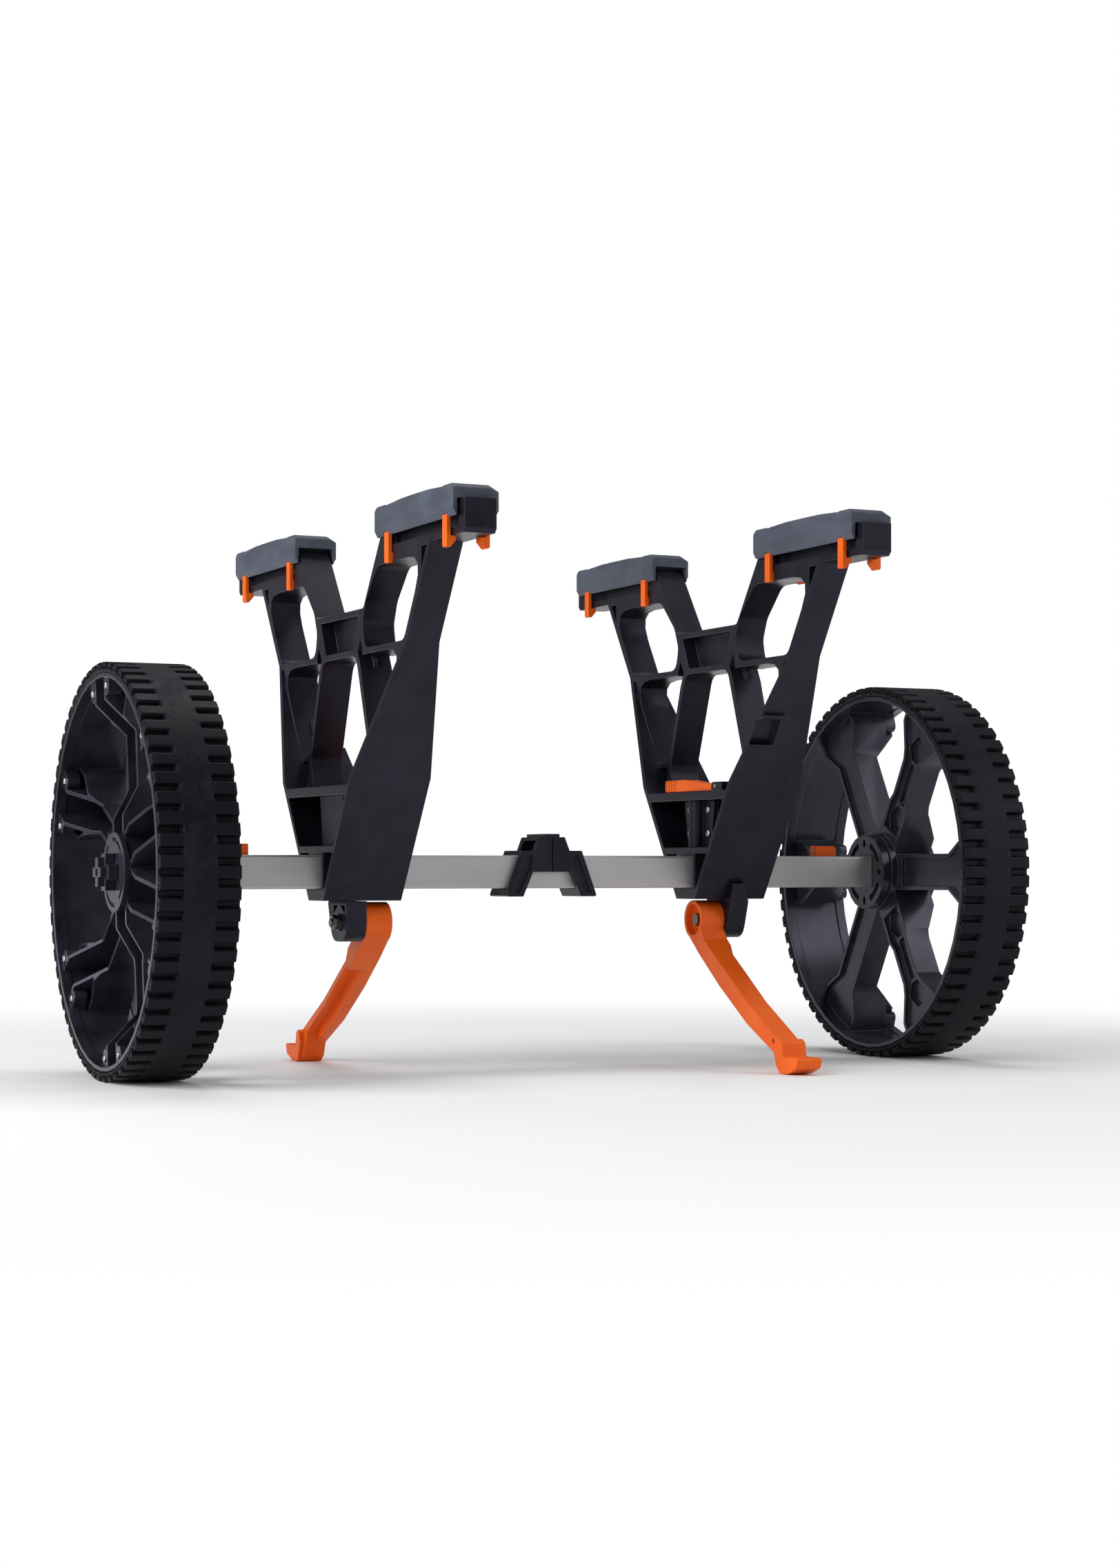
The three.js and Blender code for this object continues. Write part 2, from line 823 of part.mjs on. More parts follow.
// Trestle frame
function towerFrame() {
  const walls = join(sideWall(1), sideWall(-1));
  const lower = lowerBox();
  const truss = cut(plateX(trussOutline(), -trussHalfWidth, trussHalfWidth), ...windows(), ...pockets());
  const trays = join(tray(1), tray(-1));
  const whole = join(walls, lower, truss, trays, leverEars(), notchBox());
  return cut(whole, notchPocket(), ...hookNotches());
}

// A leaning side wall, wide at the foot and tapered to the truss
function sideWall(side) {
  const strip = outline([
    [wallInsideAt(boxBottom), boxBottom],
    [wallAt(boxBottom), boxBottom],
    [wallAt(trayBottom), trayBottom],
    [wallInsideAt(trayBottom), trayBottom],
  ].map(([across, up]) => [side * across, up]));
  const taper = outline(mirrored([
    [baseHalfWidth, boxBottom, pocketRound],
    [baseHalfWidth, flareStart],
    [trussHalfWidth, flareEnd],
    [trussHalfWidth, trayBottom],
  ]));
  const reach = wallAt(trayBottom) + cutOverrun;
  return plateX(strip, -baseHalfWidth, baseHalfWidth).intersect(plateY(taper, -reach, reach));
}

// The box round the tube, with the ledge and the shelf above it
function lowerBox() {
  const solid = outline(mirrored([
    [wallAt(boxBottom), boxBottom, pocketRound],
    [wallAt(shelfTop) - wallThickness / 2, shelfTop],
  ]));
  const width = [-baseHalfWidth, baseHalfWidth];
  const outside = [-baseHalfWidth - cutOverrun, baseHalfWidth + cutOverrun];
  const tunnel = block(outside, [-tunnelHalf, tunnelHalf], [-tunnelHalf, tunnelHalf]);
  return cut(plateX(solid, ...width), tunnel, ...boxPockets(), ...latchBores());
}

function boxPockets() {
  const guide = tunnelHalf + guideWall;
  const ledgeBottom = tunnelHalf + guideWall / 2;
  const beside = [
    [guide, boxBottom + wallThickness],
    [guide, ledgeBottom],
    [wallInsideAt(ledgeBottom), ledgeBottom],
    [wallInsideAt(boxBottom + wallThickness) + pocketRound, boxBottom + wallThickness],
  ];
  const above = [
    [housingBottomHalf, ledgeTop, pocketRound],
    [housingTopHalf, shelfBottom, pocketRound],
    [wallInsideAt(shelfBottom), shelfBottom, pocketRound],
    [wallInsideAt(ledgeTop), ledgeTop, pocketRound],
  ];
  const front = outline(mirrored([
    [housingBottomHalf + cutOverrun, ledgeTop],
    [housingTopHalf + cutOverrun, shelfBottom],
  ]));
  const end = baseHalfWidth + cutOverrun;
  const ranges = [[middleWeb / 2, end], [-end, -middleWeb / 2]];
  return [
    plateX(front, housingFace, end),
    plateX(front, -end, -housingBack),
    ...ranges.flatMap((range) => [...bothSides(beside, ...range), ...bothSides(above, ...range)]),
  ];
}

// Bores for the plunger through the shelf, the housing's front and the ledge
function latchBores() {
  const place = [plungerPlace, 0];
  return [
    rodZ(stemRadius + stemRunning, shelfBottom - cutOverrun, shelfTop + cutOverrun, place),
    rodZ(boreRadius, ledgeTop, shelfBottom, place),
    rodZ(plungerRadius + stemRunning, tubeHalf, ledgeTop + cutOverrun, place),
  ];
}

// Side view of the truss and arms, without its windows
function trussOutline() {
  const trayMiddle = trayBottom + trayFlange;
  return outline(mirrored([
    [wallInsideAt(shelfBottom), shelfBottom],
    [wallAt(trayBottom), trayBottom],
    [wallAt(trayBottom), trayMiddle],
    [trayStart + armThickness, trayMiddle],
    [trayStart + armThickness, armTop],
    [armTopPlace, armTop],
    [plateTopHalf, plateTop, armThickness],
  ]));
}

function centreWindow() {
  return outline(mirrored([
    [centreWindowTopHalf, windowTop, windowRound],
    [centreWindowWaistHalf, centreWindowWaist, slotRound],
    [centreWindowFootHalf, shelfTop, pocketRound],
  ]));
}

function lowerSideWindow() {
  const top = windowTop;
  return [
    [legAt(top) + legThickness / 2, top, windowLegRound],
    [wallInsideAt(top) - legThickness / 2, top, slotRound],
    [wallInsideAt(sideWindowFloor), sideWindowFloor, pocketRound],
    [legAt(sideWindowFloor), sideWindowFloor, windowRound],
  ];
}

function upperSideWindow() {
  const inner = armAt(upperWindowTop) + armThickness;
  return [
    [centreWindowWaistHalf - windowRound, ribTop, windowRound],
    [wallInsideAt(ribTop) - legThickness / 2, ribTop, windowRound],
    [wallInsideAt(upperWindowTop) - legThickness / 2, upperWindowTop, slotRound],
    [inner + legThickness, upperWindowTop, slotRound],
    [armAt(plateTop) + armThickness, plateTop + armThickness, slotRound],
    [plateTopHalf - legThickness / 2, plateTop - windowRound, windowRound],
  ];
}

function bothSides(points, from, to, steps) {
  const right = plateX(outline(points), from, to, steps);
  return [right, right.mirror([0, 1, 0])];
}

function windows() {
  const through = [-trussHalfWidth - cutOverrun, trussHalfWidth + cutOverrun];
  return [
    plateX(centreWindow(), ...through, roundSteps),
    ...bothSides(lowerSideWindow(), ...through, roundSteps),
    ...bothSides(upperSideWindow(), ...through, roundSteps),
  ];
}

// Blind pockets on both faces of the truss: the name plate's bare recess and the small corner cells
function pockets() {
  const recess = mirrored([
    [plateTopHalf - plateInset - ribThickness, plateTop - ribThickness, pocketRound],
    [plateBottomHalf - plateInset, ribTop, pocketRound],
  ]);
  const depthSides = [
    [plateWeb / 2, trussHalfWidth + cutOverrun],
    [-trussHalfWidth - cutOverrun, -plateWeb / 2],
  ];
  const cells = [diamondCell(), ribCell(), trayCell(), shelfCell()];
  return depthSides.flatMap((range) => [
    plateX(outline(recess), ...range),
    ...cells.flatMap((cell) => bothSides(cell, ...range)),
  ]);
}

// The diamond between the name plate and the four windows
function diamondCell() {
  const middle = ribTop - ribThickness / 2;
  const tall = ribTop - ribThickness - windowRound;
  return [
    [plateBottomHalf + legThickness, middle],
    [plateBottomHalf + windowRound, tall],
    [plateTopHalf - pocketRound, middle],
    [plateTopHalf - legThickness - pocketRound, plateTop - 2 * windowRound],
  ];
}

function ribCell() {
  const top = ribTop - ribThickness;
  const low = top - windowRound;
  return [
    [wallInsideAt(top) - ribThickness, top],
    [wallInsideAt(top), top],
    [wallInsideAt(low), low],
  ];
}

function trayCell() {
  const top = trayBottom - pocketRound;
  const low = upperWindowTop - windowRound;
  return [
    [wallInsideAt(top) - windowRound, top],
    [wallInsideAt(top), top],
    [wallInsideAt(low), low],
  ];
}

function shelfCell() {
  const top = sideWindowFloor - legThickness;
  return [
    [legAt(top) + pocketRound, top, pocketRound],
    [wallInsideAt(top), top],
    [wallInsideAt(shelfTop + legThickness), shelfTop + legThickness],
  ];
}

// The tray is an I beam with a closed box at its outer end
function tray(side) {
  const beam = outline([
    [trayStart, trayBottom],
    [trayEnd - trayChamfer, trayBottom],
    [trayEnd, trayBottom + trayChamfer],
    [trayEnd, trayTop],
    [trayStart, trayTop],
  ]);
  const recess = [
    [trayStart + armThickness, trayBottom + trayFlange],
    [trayEnd - trayEndBox, trayBottom + trayFlange],
    [trayEnd - trayEndBox, trayTop - trayFlange / 2],
    [trayStart + armThickness, trayTop - trayFlange / 2],
  ];
  const web = trayHalfWidth - trayRecess;
  const end = trayHalfWidth + cutOverrun;
  const whole = cut(
    plateX(beam, -trayHalfWidth, trayHalfWidth),
    plateX(outline(recess, pocketRound), web, end),
    plateX(outline(recess, pocketRound), -end, -web),
  );
  return side > 0 ? whole : whole.mirror([0, 1, 0]);
}

// Notches under the tray for the clips' hooks
function hookNotches() {
  const inner = clipOutside - clipHookReach - touchGap;
  const outer = trussHalfWidth + cutOverrun;
  const half = clipWidth / 2 + touchGap;
  const ends = [[inner, outer], [-outer, -inner]];
  return clipPlaces.flatMap((place) => [place, -place]).flatMap((middle) => ends.map((range) => block(
    range,
    [middle - half, middle + half],
    [clipBottom - touchGap, trayBottom],
  )));
}

// Two ears and an end wall that hold the lever's pin
function leverEars() {
  const side = outline([
    [earStart, shelfTop - cutOverrun],
    [earEnd, shelfTop - cutOverrun],
    [earEnd, earTop, pocketRound],
    [earStart, earTop, leverRootRadius],
  ]);
  const outer = leverRootOutside + touchGap;
  const inner = leverRootInside - touchGap;
  const range = [inner - earThickness, outer + earThickness];
  const ears = join(
    plateX(side, outer, outer + earThickness),
    plateX(side, inner - earThickness, inner),
    block(range, [earWallStart, earEnd], [shelfTop - cutOverrun, earTop]),
  );
  const pin = [leverPinPlace, leverPinHeight];
  const through = [range[0] - cutOverrun, range[1] + cutOverrun];
  return cut(ears, rodX(leverPinRadius + touchGap, ...through, pin, thinRodFacets));
}

// A blind notch in the kickstand's panel, open inboard, with a small shelf over it
function notchPocket() {
  const outside = 2 * notchShelfReach;
  const opening = slantedBand(notchBottom, notchTop, notchDepth, outside);
  return plateX(outline(opening), notchSide, baseHalfWidth + cutOverrun);
}

function notchBox() {
  const low = notchBottom - notchWall;
  const high = notchTop + notchShelf;
  const box = plateX(outline(slantedBand(low, high, notchDepth + notchWall, 0)), ...notchRange());
  const shelf = plateX(outline(slantedBand(notchTop, high, notchDepth, notchShelfReach)), ...notchRange());
  return join(box, shelf);
}

function notchRange() {
  const taper = (flareEnd - notchTop) / (flareEnd - flareStart);
  return [notchSide - notchWall, trussHalfWidth + (baseHalfWidth - trussHalfWidth) * taper];
}

// A band of the side wall between two heights, from inside its outer face to outside it
function slantedBand(low, high, inside, outside) {
  return [
    [wallAt(low) - inside, low],
    [wallAt(low) + outside, low],
    [wallAt(high) + outside, high],
    [wallAt(high) - inside, high],
  ];
}

// Pad: an inverted channel over the tray
function pad() {
  const section = outline(mirrored([
    [padLipInside, padSideBottom],
    [padHalfWidth - padUnderStep, padSideBottom],
    [padHalfWidth, padSideBottom + padUnderChamfer],
    [padHalfWidth, padTop - padEdge],
    [padHalfWidth - padEdge, padTop],
  ]).concat([
    [-padLipInside, trayTop + touchGap],
    [padLipInside, trayTop + touchGap],
  ]));
  const channel = plateY(section, padStart, padEnd);
  const plan = outline(mirrored([
    [padHalfWidth - padEndChamfer, padStart],
    [padHalfWidth, padStart + padEndChamfer],
    [padHalfWidth, padEnd - padEndChamfer],
    [padHalfWidth - padEndChamfer, padEnd],
  ]));
  const side = outline([
    [padStart, padSideBottom],
    [padEnd, padSideBottom],
    [padEnd, padTop - padEndChamfer],
    [padEnd - padEndChamfer, padTop],
    [padStart + padEndChamfer, padTop],
    [padStart, padTop - padEndChamfer],
  ]);
  const trimmed = channel
    .intersect(plateZ(plan, padSideBottom, padTop))
    .intersect(plateX(side, -padHalfWidth, padHalfWidth));
  return cut(trimmed, ...clipPlaces.map((place) => clipRoom(place)));
}

// The room that a clip takes in the pad
function clipRoom(place) {
  const half = clipWidth / 2 + touchGap;
  const out = clipOutside + touchGap;
  return block([-out, out], [place - half, place + half], [
    padSideBottom - cutOverrun,
    trayTop + touchGap + clipBridge + touchGap,
  ]);
}

// Clip: a strap over the tray with a hook under it on each side
function clip(place) {
  const inside = clipOutside - clipThickness;
  const top = trayTop + touchGap + clipBridge;
  const hookTop = trayBottom - touchGap;
  const section = outline(mirrored([
    [inside, trayTop + touchGap],
    [inside, hookTop],
    [clipOutside - clipHookReach, hookTop],
    [clipOutside - clipHookReach, hookTop - clipHookHeight],
    [inside, clipBottom],
    [clipOutside, clipBottom, pocketRound],
    [clipOutside, top, pocketRound],
  ]));
  return plateY(section, place - clipWidth / 2, place + clipWidth / 2);
}

// Latch cover, with a half-round boss over the plunger
function latchCover() {
  const low = ledgeTop + touchGap;
  const high = shelfBottom - touchGap;
  const back = housingFace + touchGap;
  const sheet = outline(mirrored([
    [housingBottomHalf, low, pocketRound],
    [housingTopHalf, high, pocketRound],
  ]));
  const boss = rodZ(bossRadius, low, high, [plungerPlace, 0], largeRodFacets)
    .intersect(block([back, plungerPlace + bossRadius], [-bossRadius, bossRadius], [low, high]));
  const bore = rodZ(boreRadius, low - cutOverrun, high + cutOverrun, [plungerPlace, 0]);
  return cut(join(plateX(sheet, back, back + coverThickness), boss), bore);
}

function plunger() {
  const bottom = tubeHalf + touchGap;
  const collarTop = plungerCollarBottom + plungerCollarHeight;
  const place = [plungerPlace, 0];
  return join(
    rodZ(plungerRadius, bottom, collarTop - cutOverrun, place),
    rodZ(plungerCollarRadius, plungerCollarBottom, collarTop, place),
    rodZ(stemRadius, collarTop - cutOverrun, plungerHeadBottom + cutOverrun, place, smallRodFacets),
    rodZ(plungerHeadRadius, plungerHeadBottom, plungerHeadBottom + plungerHeadHeight, place),
  );
}

// Lever: a grooved grip that thins towards its root, with a hidden slot that lifts the plunger
function latchLever() {
  const bottom = shelfTop + touchGap;
  const side = outline([
    [leverGripEnd, bottom, pocketRound],
    [leverPinPlace, bottom],
    [leverPinPlace, leverRootTop],
    [leverNeck, leverRootTop, windowRound],
    [leverGripEnd + leverGripLength + bossRadius, leverGripTop, windowRound],
    [leverGripEnd, leverGripTop, pocketRound],
  ]);
  const plan = outline([
    [leverInside, leverGripEnd],
    [leverOutside, leverGripEnd],
    [leverOutside, leverGripEnd + leverGripLength, windowRound],
    [leverRootOutside, earStart - legThickness],
    [leverRootOutside, leverPinPlace + leverRootRadius],
    [leverRootInside, leverPinPlace + leverRootRadius],
    [leverRootInside, earStart - legThickness],
    [leverInside, leverNeck - legThickness],
  ]);
  const bar = plateX(side, leverInside, leverOutside).intersect(plateZ(plan, bottom, leverGripTop));
  const pin = [leverPinPlace, leverPinHeight];
  const eye = rodX(leverRootRadius, leverRootInside, leverRootOutside, pin);
  const hole = rodX(leverPinRadius + touchGap, leverInside, leverOutside, pin);
  return cut(join(bar, eye), hole, ...plungerSlot(bottom), ...gripGrooves(bottom));
}

function plungerSlot(bottom) {
  const end = plungerPlace + plungerHeadRadius + stemRunning * 2;
  const neckEnd = plungerPlace + stemRadius + stemRunning;
  const neckTop = bottom + leverSkin;
  const start = leverInside - cutOverrun;
  const neck = [bottom - cutOverrun, neckTop + cutOverrun];
  return [
    block([start, neckEnd], [-leverNeckSlotHalf, leverNeckSlotHalf], neck),
    block([start, end], [-leverSlotHalf, leverSlotHalf], [neckTop, neckTop + leverSlotHeight]),
  ];
}

function gripGrooves(bottom) {
  const grooves = [];
  for (let index = 0; index < leverGrooveCount; index += 1) {
    const start = leverGripEnd + leverGroovePitch * (index + 1 / 2);
    grooves.push(block(
      [leverOutside - leverGrooveDepth, leverOutside + cutOverrun],
      [start, start + leverGrooveWidth],
      [bottom - cutOverrun, leverGripTop + cutOverrun],
    ));
  }
  return grooves;
}

function leverPin() {
  const inner = leverRootInside - touchGap - earThickness;
  const outer = leverRootOutside + touchGap + earThickness;
  return rodX(leverPinRadius, inner, outer, [leverPinPlace, leverPinHeight], smallRodFacets);
}

// Kickstand bracket: seated under the box, with a tongue up the wall on the kickstand's side
function kickstandBracket() {
  const seat = boxBottom - touchGap;
  const slopeGap = touchGap * Math.hypot(1, wallLeanShare);
  const body = outline([
    [-boxHalfDepth, seat],
    [wallAt(seat) + slopeGap, seat],
    [wallAt(bracketTop) + slopeGap, bracketTop],
    [bracketHalfDepth, bracketTop, pocketRound],
    [bracketFootHalf, bracketBottom, bracketRound],
    [-bracketFootHalf, bracketBottom, bracketRound],
  ]);
  const leaning = outline([
    [bracketBack, bracketBottom],
    [bracketFace, bracketBottom],
    [bracketFace, bracketTop],
    [bracketTopBack, bracketTop],
    [bracketBack, bracketSlopeStart],
  ]);
  const pocketSide = bracketFootHalf - bracketPocketRib;
  const pocket = [
    [bracketPocketRib, seat - bracketPocketRib],
    [pocketSide, seat - bracketPocketRib],
    [pocketSide, pivotHeight + washerRadius],
  ];
  const whole = plateX(body, bracketBack, bracketFace, roundSteps)
    .intersect(plateY(leaning, -bracketHalfDepth, bracketHalfDepth));
  const through = [bracketBack - cutOverrun, bracketFace + cutOverrun];
  const hole = rodX(boltRadius + touchGap, ...through, [0, pivotHeight]);
  const pockets = bothSides(pocket, bracketBack - cutOverrun, bracketBack + bracketPocketDepth);
  return cut(whole, ...pockets, hole);
}

function legPoint([out, down, round = 0]) {
  return [out * kickstandReach, pivotHeight + down * kickstandDrop, round * kickstandReach];
}

function kickstand() {
  const face = bracketFace + touchGap;
  const pivot = [0, pivotHeight];
  const outside = kickstandFace + cutOverrun;
  const leg = plateX(outline(legShares.map(legPoint)), face, kickstandFace);
  const head = rodX(kickstandHeadRadius, face, kickstandFace, pivot, headFacets);
  const recessFloor = kickstandFace - kickstandRecessDepth;
  const recess = rodX(kickstandRecessRadius, recessFloor, outside, pivot, largeRodFacets);
  const hole = rodX(kickstandHoleRadius, face - cutOverrun, kickstandFace, pivot);
  const eyeFloor = kickstandFace - kickstandEyeDepth;
  const eye = rodX(kickstandEyeRadius, eyeFloor, outside, legPoint(legEyeShares), thinRodFacets);
  return cut(join(cut(leg, legStep(face), legScoop(face)), head), recess, hole, eye);
}

// Below the head the leg's outboard side steps back, and is scooped out under its upper edge
function legStep(face) {
  return plateX(outline(legStepShares.map(legPoint)), face - cutOverrun, face + legStepDepth);
}

function legScoop(face) {
  return plateX(outline(legScoopShares.map(legPoint)), face - cutOverrun, face + legScoopDepth);
}

function kickstandBolt() {
  const seat = kickstandFace - kickstandRecessDepth;
  const end = bracketBack - washerThickness - nutHeight - 2 * touchGap - boltOverhang;
  const pivot = [0, pivotHeight];
  return join(
    rodX(boltRadius, end, seat + cutOverrun, pivot),
    rodX(boltHeadRadius, seat + touchGap, seat + boltHeadHeight, pivot, hexFacets),
  );
}

function kickstandWasher() {
  const face = bracketBack - touchGap;
  const pivot = [0, pivotHeight];
  const ring = rodX(washerRadius, face - washerThickness, face, pivot);
  const hole = rodX(boltRadius + touchGap, face - washerThickness - cutOverrun, face + cutOverrun, pivot);
  return cut(ring, hole);
}

function kickstandNut() {
  const face = bracketBack - washerThickness - 2 * touchGap;
  const pivot = [0, pivotHeight];
  const body = rodX(nutRadius, face - nutHeight, face, pivot, hexFacets);
  return cut(body, rodX(boltRadius + touchGap, face - nutHeight - cutOverrun, face + cutOverrun, pivot));
}

// Axle tube, with a hole in its top for each release button
function axleTube() {
  const half = tubeHalf;
  const outside = outline(mirrored([[half, -half], [half, half]]), tubeCornerRadius);
  const inside = outline(mirrored([[tubeInside, -tubeInside], [tubeInside, tubeInside]]));
  const bar = cut(
    plateX(outside, -tubeEnd, tubeEnd),
    plateX(inside, -tubeEnd - cutOverrun, tubeEnd + cutOverrun),
  );
  const holes = [-1, 1].map((side) => {
    const middle = side * buttonPlane;
    const halfLength = buttonLength / 2 + touchGap;
    const halfWidth = buttonWidth / 2 + touchGap;
    const length = [middle - halfLength, middle + halfLength];
    return block(length, [-halfWidth, halfWidth], [0, half + cutOverrun]);
  });
  return cut(bar, ...holes);
}

// Centre bracket: two splayed bands round the tube under a hollow cap
function centreBracket() {
  const front = outline(mirrored([
    [saddleArchHalf, saddleArchTop],
    [saddleFootInner, saddleBottom],
    [saddleFootHalf, saddleBottom, pocketRound],
    [saddleShoulderHalf, saddleShoulder],
    [saddleNeckHalf, saddleShoulder],
    [saddleNeckTopHalf, saddleNeckTop],
    [saddleCapHalf, saddleNeckTop],
    [saddleCapHalf, saddleCapTop],
  ]));
  const body = plateY(front, -saddleHalfDepth, saddleHalfDepth);
  const bore = [-tunnelHalf, tunnelHalf];
  const tunnel = block([-saddleFootHalf, saddleFootHalf], bore, bore);
  const sockets = [-1, 1].map((side) => block(
    side > 0 ? [saddleSocketMiddle, saddleFootHalf] : [-saddleFootHalf, -saddleSocketMiddle],
    [-saddleSocketHalf, saddleSocketHalf],
    [saddleShoulder, saddleSocketTop],
  ));
  return cut(body, tunnel, ...sockets, ...saddleRecesses());
}

// Shallow channels down the legs and a seam down the middle, on both faces
function saddleRecesses() {
  const leg = [
    [saddleArchHalf + saddleLegMargin / 2, saddleArchTop + saddleLegMargin],
    [saddleFootInner + saddleLegMargin, saddleBottom + saddleLegMargin],
    [saddleFootHalf - saddleLegMargin - pocketRound, saddleBottom + saddleLegMargin],
    [saddleShoulderHalf - saddleLegMargin, saddleShoulder - saddleLegMargin],
    [saddleArchHalf, saddleShoulder - saddleLegMargin],
  ];
  const floor = saddleHalfDepth - saddleLegRecess;
  const recesses = [];
  for (const side of [-1, 1]) {
    const face = side * (saddleHalfDepth + cutOverrun);
    const right = plateY(outline(leg), Math.min(side * floor, face), Math.max(side * floor, face));
    recesses.push(right, right.mirror([1, 0, 0]));
    const seam = side * (saddleHalfDepth - saddleSeamDepth);
    recesses.push(block(
      [-saddleSeamWidth / 2, saddleSeamWidth / 2],
      [Math.min(seam, face), Math.max(seam, face)],
      [saddleArchTop - cutOverrun, saddleNeckTop],
    ));
  }
  return recesses;
}

// Materials
const blackPlastic = { color: 0x1d1f24, roughness: 0.55, metalness: 0 };
const wheelPlastic = { color: 0x1b1d21, roughness: 0.4, metalness: 0 };
const tyreRubber = { color: 0x25272c, roughness: 0.75, metalness: 0 };
const padRubber = { color: 0x2b313b, roughness: 0.7, metalness: 0 };
const orangePlastic = { color: 0xe8641c, roughness: 0.5, metalness: 0 };
const aluminium = { color: 0xb9b8b6, roughness: 0.4, metalness: 0.9 };
const steel = { color: 0xa9a9a9, roughness: 0.3, metalness: 1 };

function piece(name, shape, look) {
  const geometry = shape.isBufferGeometry ? shape : geometryOf(shape);
  geometry.computeVertexNormals();
  const mesh = new THREE.Mesh(geometry, new THREE.MeshStandardMaterial(look));
  mesh.name = name;
  return mesh;
}

function wheelGroup(side, spokeTurn) {
  const wheel = new THREE.Group();
  const turning = new THREE.Group();
  turning.rotation.x = THREE.MathUtils.degToRad(spokeTurn);
  turning.add(piece(`${side}_rim`, rim(), wheelPlastic));
  turning.add(piece(`${side}_hub_cap`, hubCap(), wheelPlastic));
  wheel.add(turning);
  wheel.add(piece(`${side}_tyre`, tyre(), tyreRubber));
  wheel.add(piece(`${side}_spindle`, spindle(), blackPlastic));
  wheel.add(piece(`${side}_axle_plug`, axlePlug(), blackPlastic));
  wheel.add(buttonGroup(side));
  wheel.rotation.z = Math.PI;
  wheel.position.x = -wheelPlane;
  return wheel;
}

function buttonGroup(side) {
  const group = new THREE.Group();
  const floor = tubeInside - touchGap - buttonPocketDepth + touchGap;
  const under = tubeInside - touchGap - buttonFlangeHeight - touchGap;
  const spring = coilSpring(buttonSpringRadius, buttonSpringWire, floor, under, buttonSpringTurns);
  group.add(piece(`${side}_release_button`, releaseButton(), orangePlastic));
  group.add(piece(`${side}_button_spring`, spring, steel));
  group.position.x = buttonPlane - wheelPlane;
  return group;
}

function padGroup(side, end) {
  const group = new THREE.Group();
  group.add(piece(`${side}_${end}_pad`, pad(), padRubber));
  clipPlaces.forEach((place, index) => {
    group.add(piece(`${side}_${end}_${['inner', 'outer'][index]}_clip`, clip(place), orangePlastic));
  });
  return group;
}

function towerGroup(side) {
  const tower = new THREE.Group();
  const springLow = plungerCollarBottom + plungerCollarHeight + touchGap;
  const spring = coilSpring(
    plungerSpringRadius,
    plungerSpringWire,
    springLow,
    shelfBottom - touchGap,
    plungerSpringTurns,
  );
  spring.translate(plungerPlace, 0, 0);
  tower.add(piece(`${side}_frame`, towerFrame(), blackPlastic));
  tower.add(piece(`${side}_latch_cover`, latchCover(), blackPlastic));
  tower.add(piece(`${side}_latch_lever`, latchLever(), orangePlastic));
  tower.add(piece(`${side}_lever_pin`, leverPin(), steel));
  tower.add(piece(`${side}_plunger`, plunger(), blackPlastic));
  tower.add(piece(`${side}_plunger_spring`, spring, steel));
  tower.add(piece(`${side}_kickstand_bracket`, kickstandBracket(), blackPlastic));
  tower.add(piece(`${side}_kickstand`, kickstand(), orangePlastic));
  tower.add(piece(`${side}_kickstand_bolt`, kickstandBolt(), steel));
  tower.add(piece(`${side}_kickstand_washer`, kickstandWasher(), steel));
  tower.add(piece(`${side}_kickstand_nut`, kickstandNut(), steel));
  const kickstandEnd = padGroup(side, 'stand_side');
  const plainEnd = padGroup(side, 'plain_side');
  plainEnd.rotation.z = Math.PI;
  tower.add(kickstandEnd, plainEnd);
  tower.position.x = -towerPlane;
  return tower;
}

function halfCart(side, spokeTurn) {
  const half = new THREE.Group();
  half.add(wheelGroup(side, spokeTurn), towerGroup(side));
  return half;
}

const cart = new THREE.Group();
const rightHalf = halfCart('right', rightSpokeTurn);
rightHalf.rotation.z = Math.PI;
cart.add(halfCart('left', leftSpokeTurn), rightHalf);
cart.add(piece('axle_tube', axleTube(), aluminium));
cart.add(piece('centre_bracket', centreBracket(), blackPlastic));
cart.position.z = wheelRadius;

const part = new THREE.Group();
part.add(cart);

export default part;
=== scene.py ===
import json
import math

import bmesh
import bpy
from mathutils import Matrix, Vector

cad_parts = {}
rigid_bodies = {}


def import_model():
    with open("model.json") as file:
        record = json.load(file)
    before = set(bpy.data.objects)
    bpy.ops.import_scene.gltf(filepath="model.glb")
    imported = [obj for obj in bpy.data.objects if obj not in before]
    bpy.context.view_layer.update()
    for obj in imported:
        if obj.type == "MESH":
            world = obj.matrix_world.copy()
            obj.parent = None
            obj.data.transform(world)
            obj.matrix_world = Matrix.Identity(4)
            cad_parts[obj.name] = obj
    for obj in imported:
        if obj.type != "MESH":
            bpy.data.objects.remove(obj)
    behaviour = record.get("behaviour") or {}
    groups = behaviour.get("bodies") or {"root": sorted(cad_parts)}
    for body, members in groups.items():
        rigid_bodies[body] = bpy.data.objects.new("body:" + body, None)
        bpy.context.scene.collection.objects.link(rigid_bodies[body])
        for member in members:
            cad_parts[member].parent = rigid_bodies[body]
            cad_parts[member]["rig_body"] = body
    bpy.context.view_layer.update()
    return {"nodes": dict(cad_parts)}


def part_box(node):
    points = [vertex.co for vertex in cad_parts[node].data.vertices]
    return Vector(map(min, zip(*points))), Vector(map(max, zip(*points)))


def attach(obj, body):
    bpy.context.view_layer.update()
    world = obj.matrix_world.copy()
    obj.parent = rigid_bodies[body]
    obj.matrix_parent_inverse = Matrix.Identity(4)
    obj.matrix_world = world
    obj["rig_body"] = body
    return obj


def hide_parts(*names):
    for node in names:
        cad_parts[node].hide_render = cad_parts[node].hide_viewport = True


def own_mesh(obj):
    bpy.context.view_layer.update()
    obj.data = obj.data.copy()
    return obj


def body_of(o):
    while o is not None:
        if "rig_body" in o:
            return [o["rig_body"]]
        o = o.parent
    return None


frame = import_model()
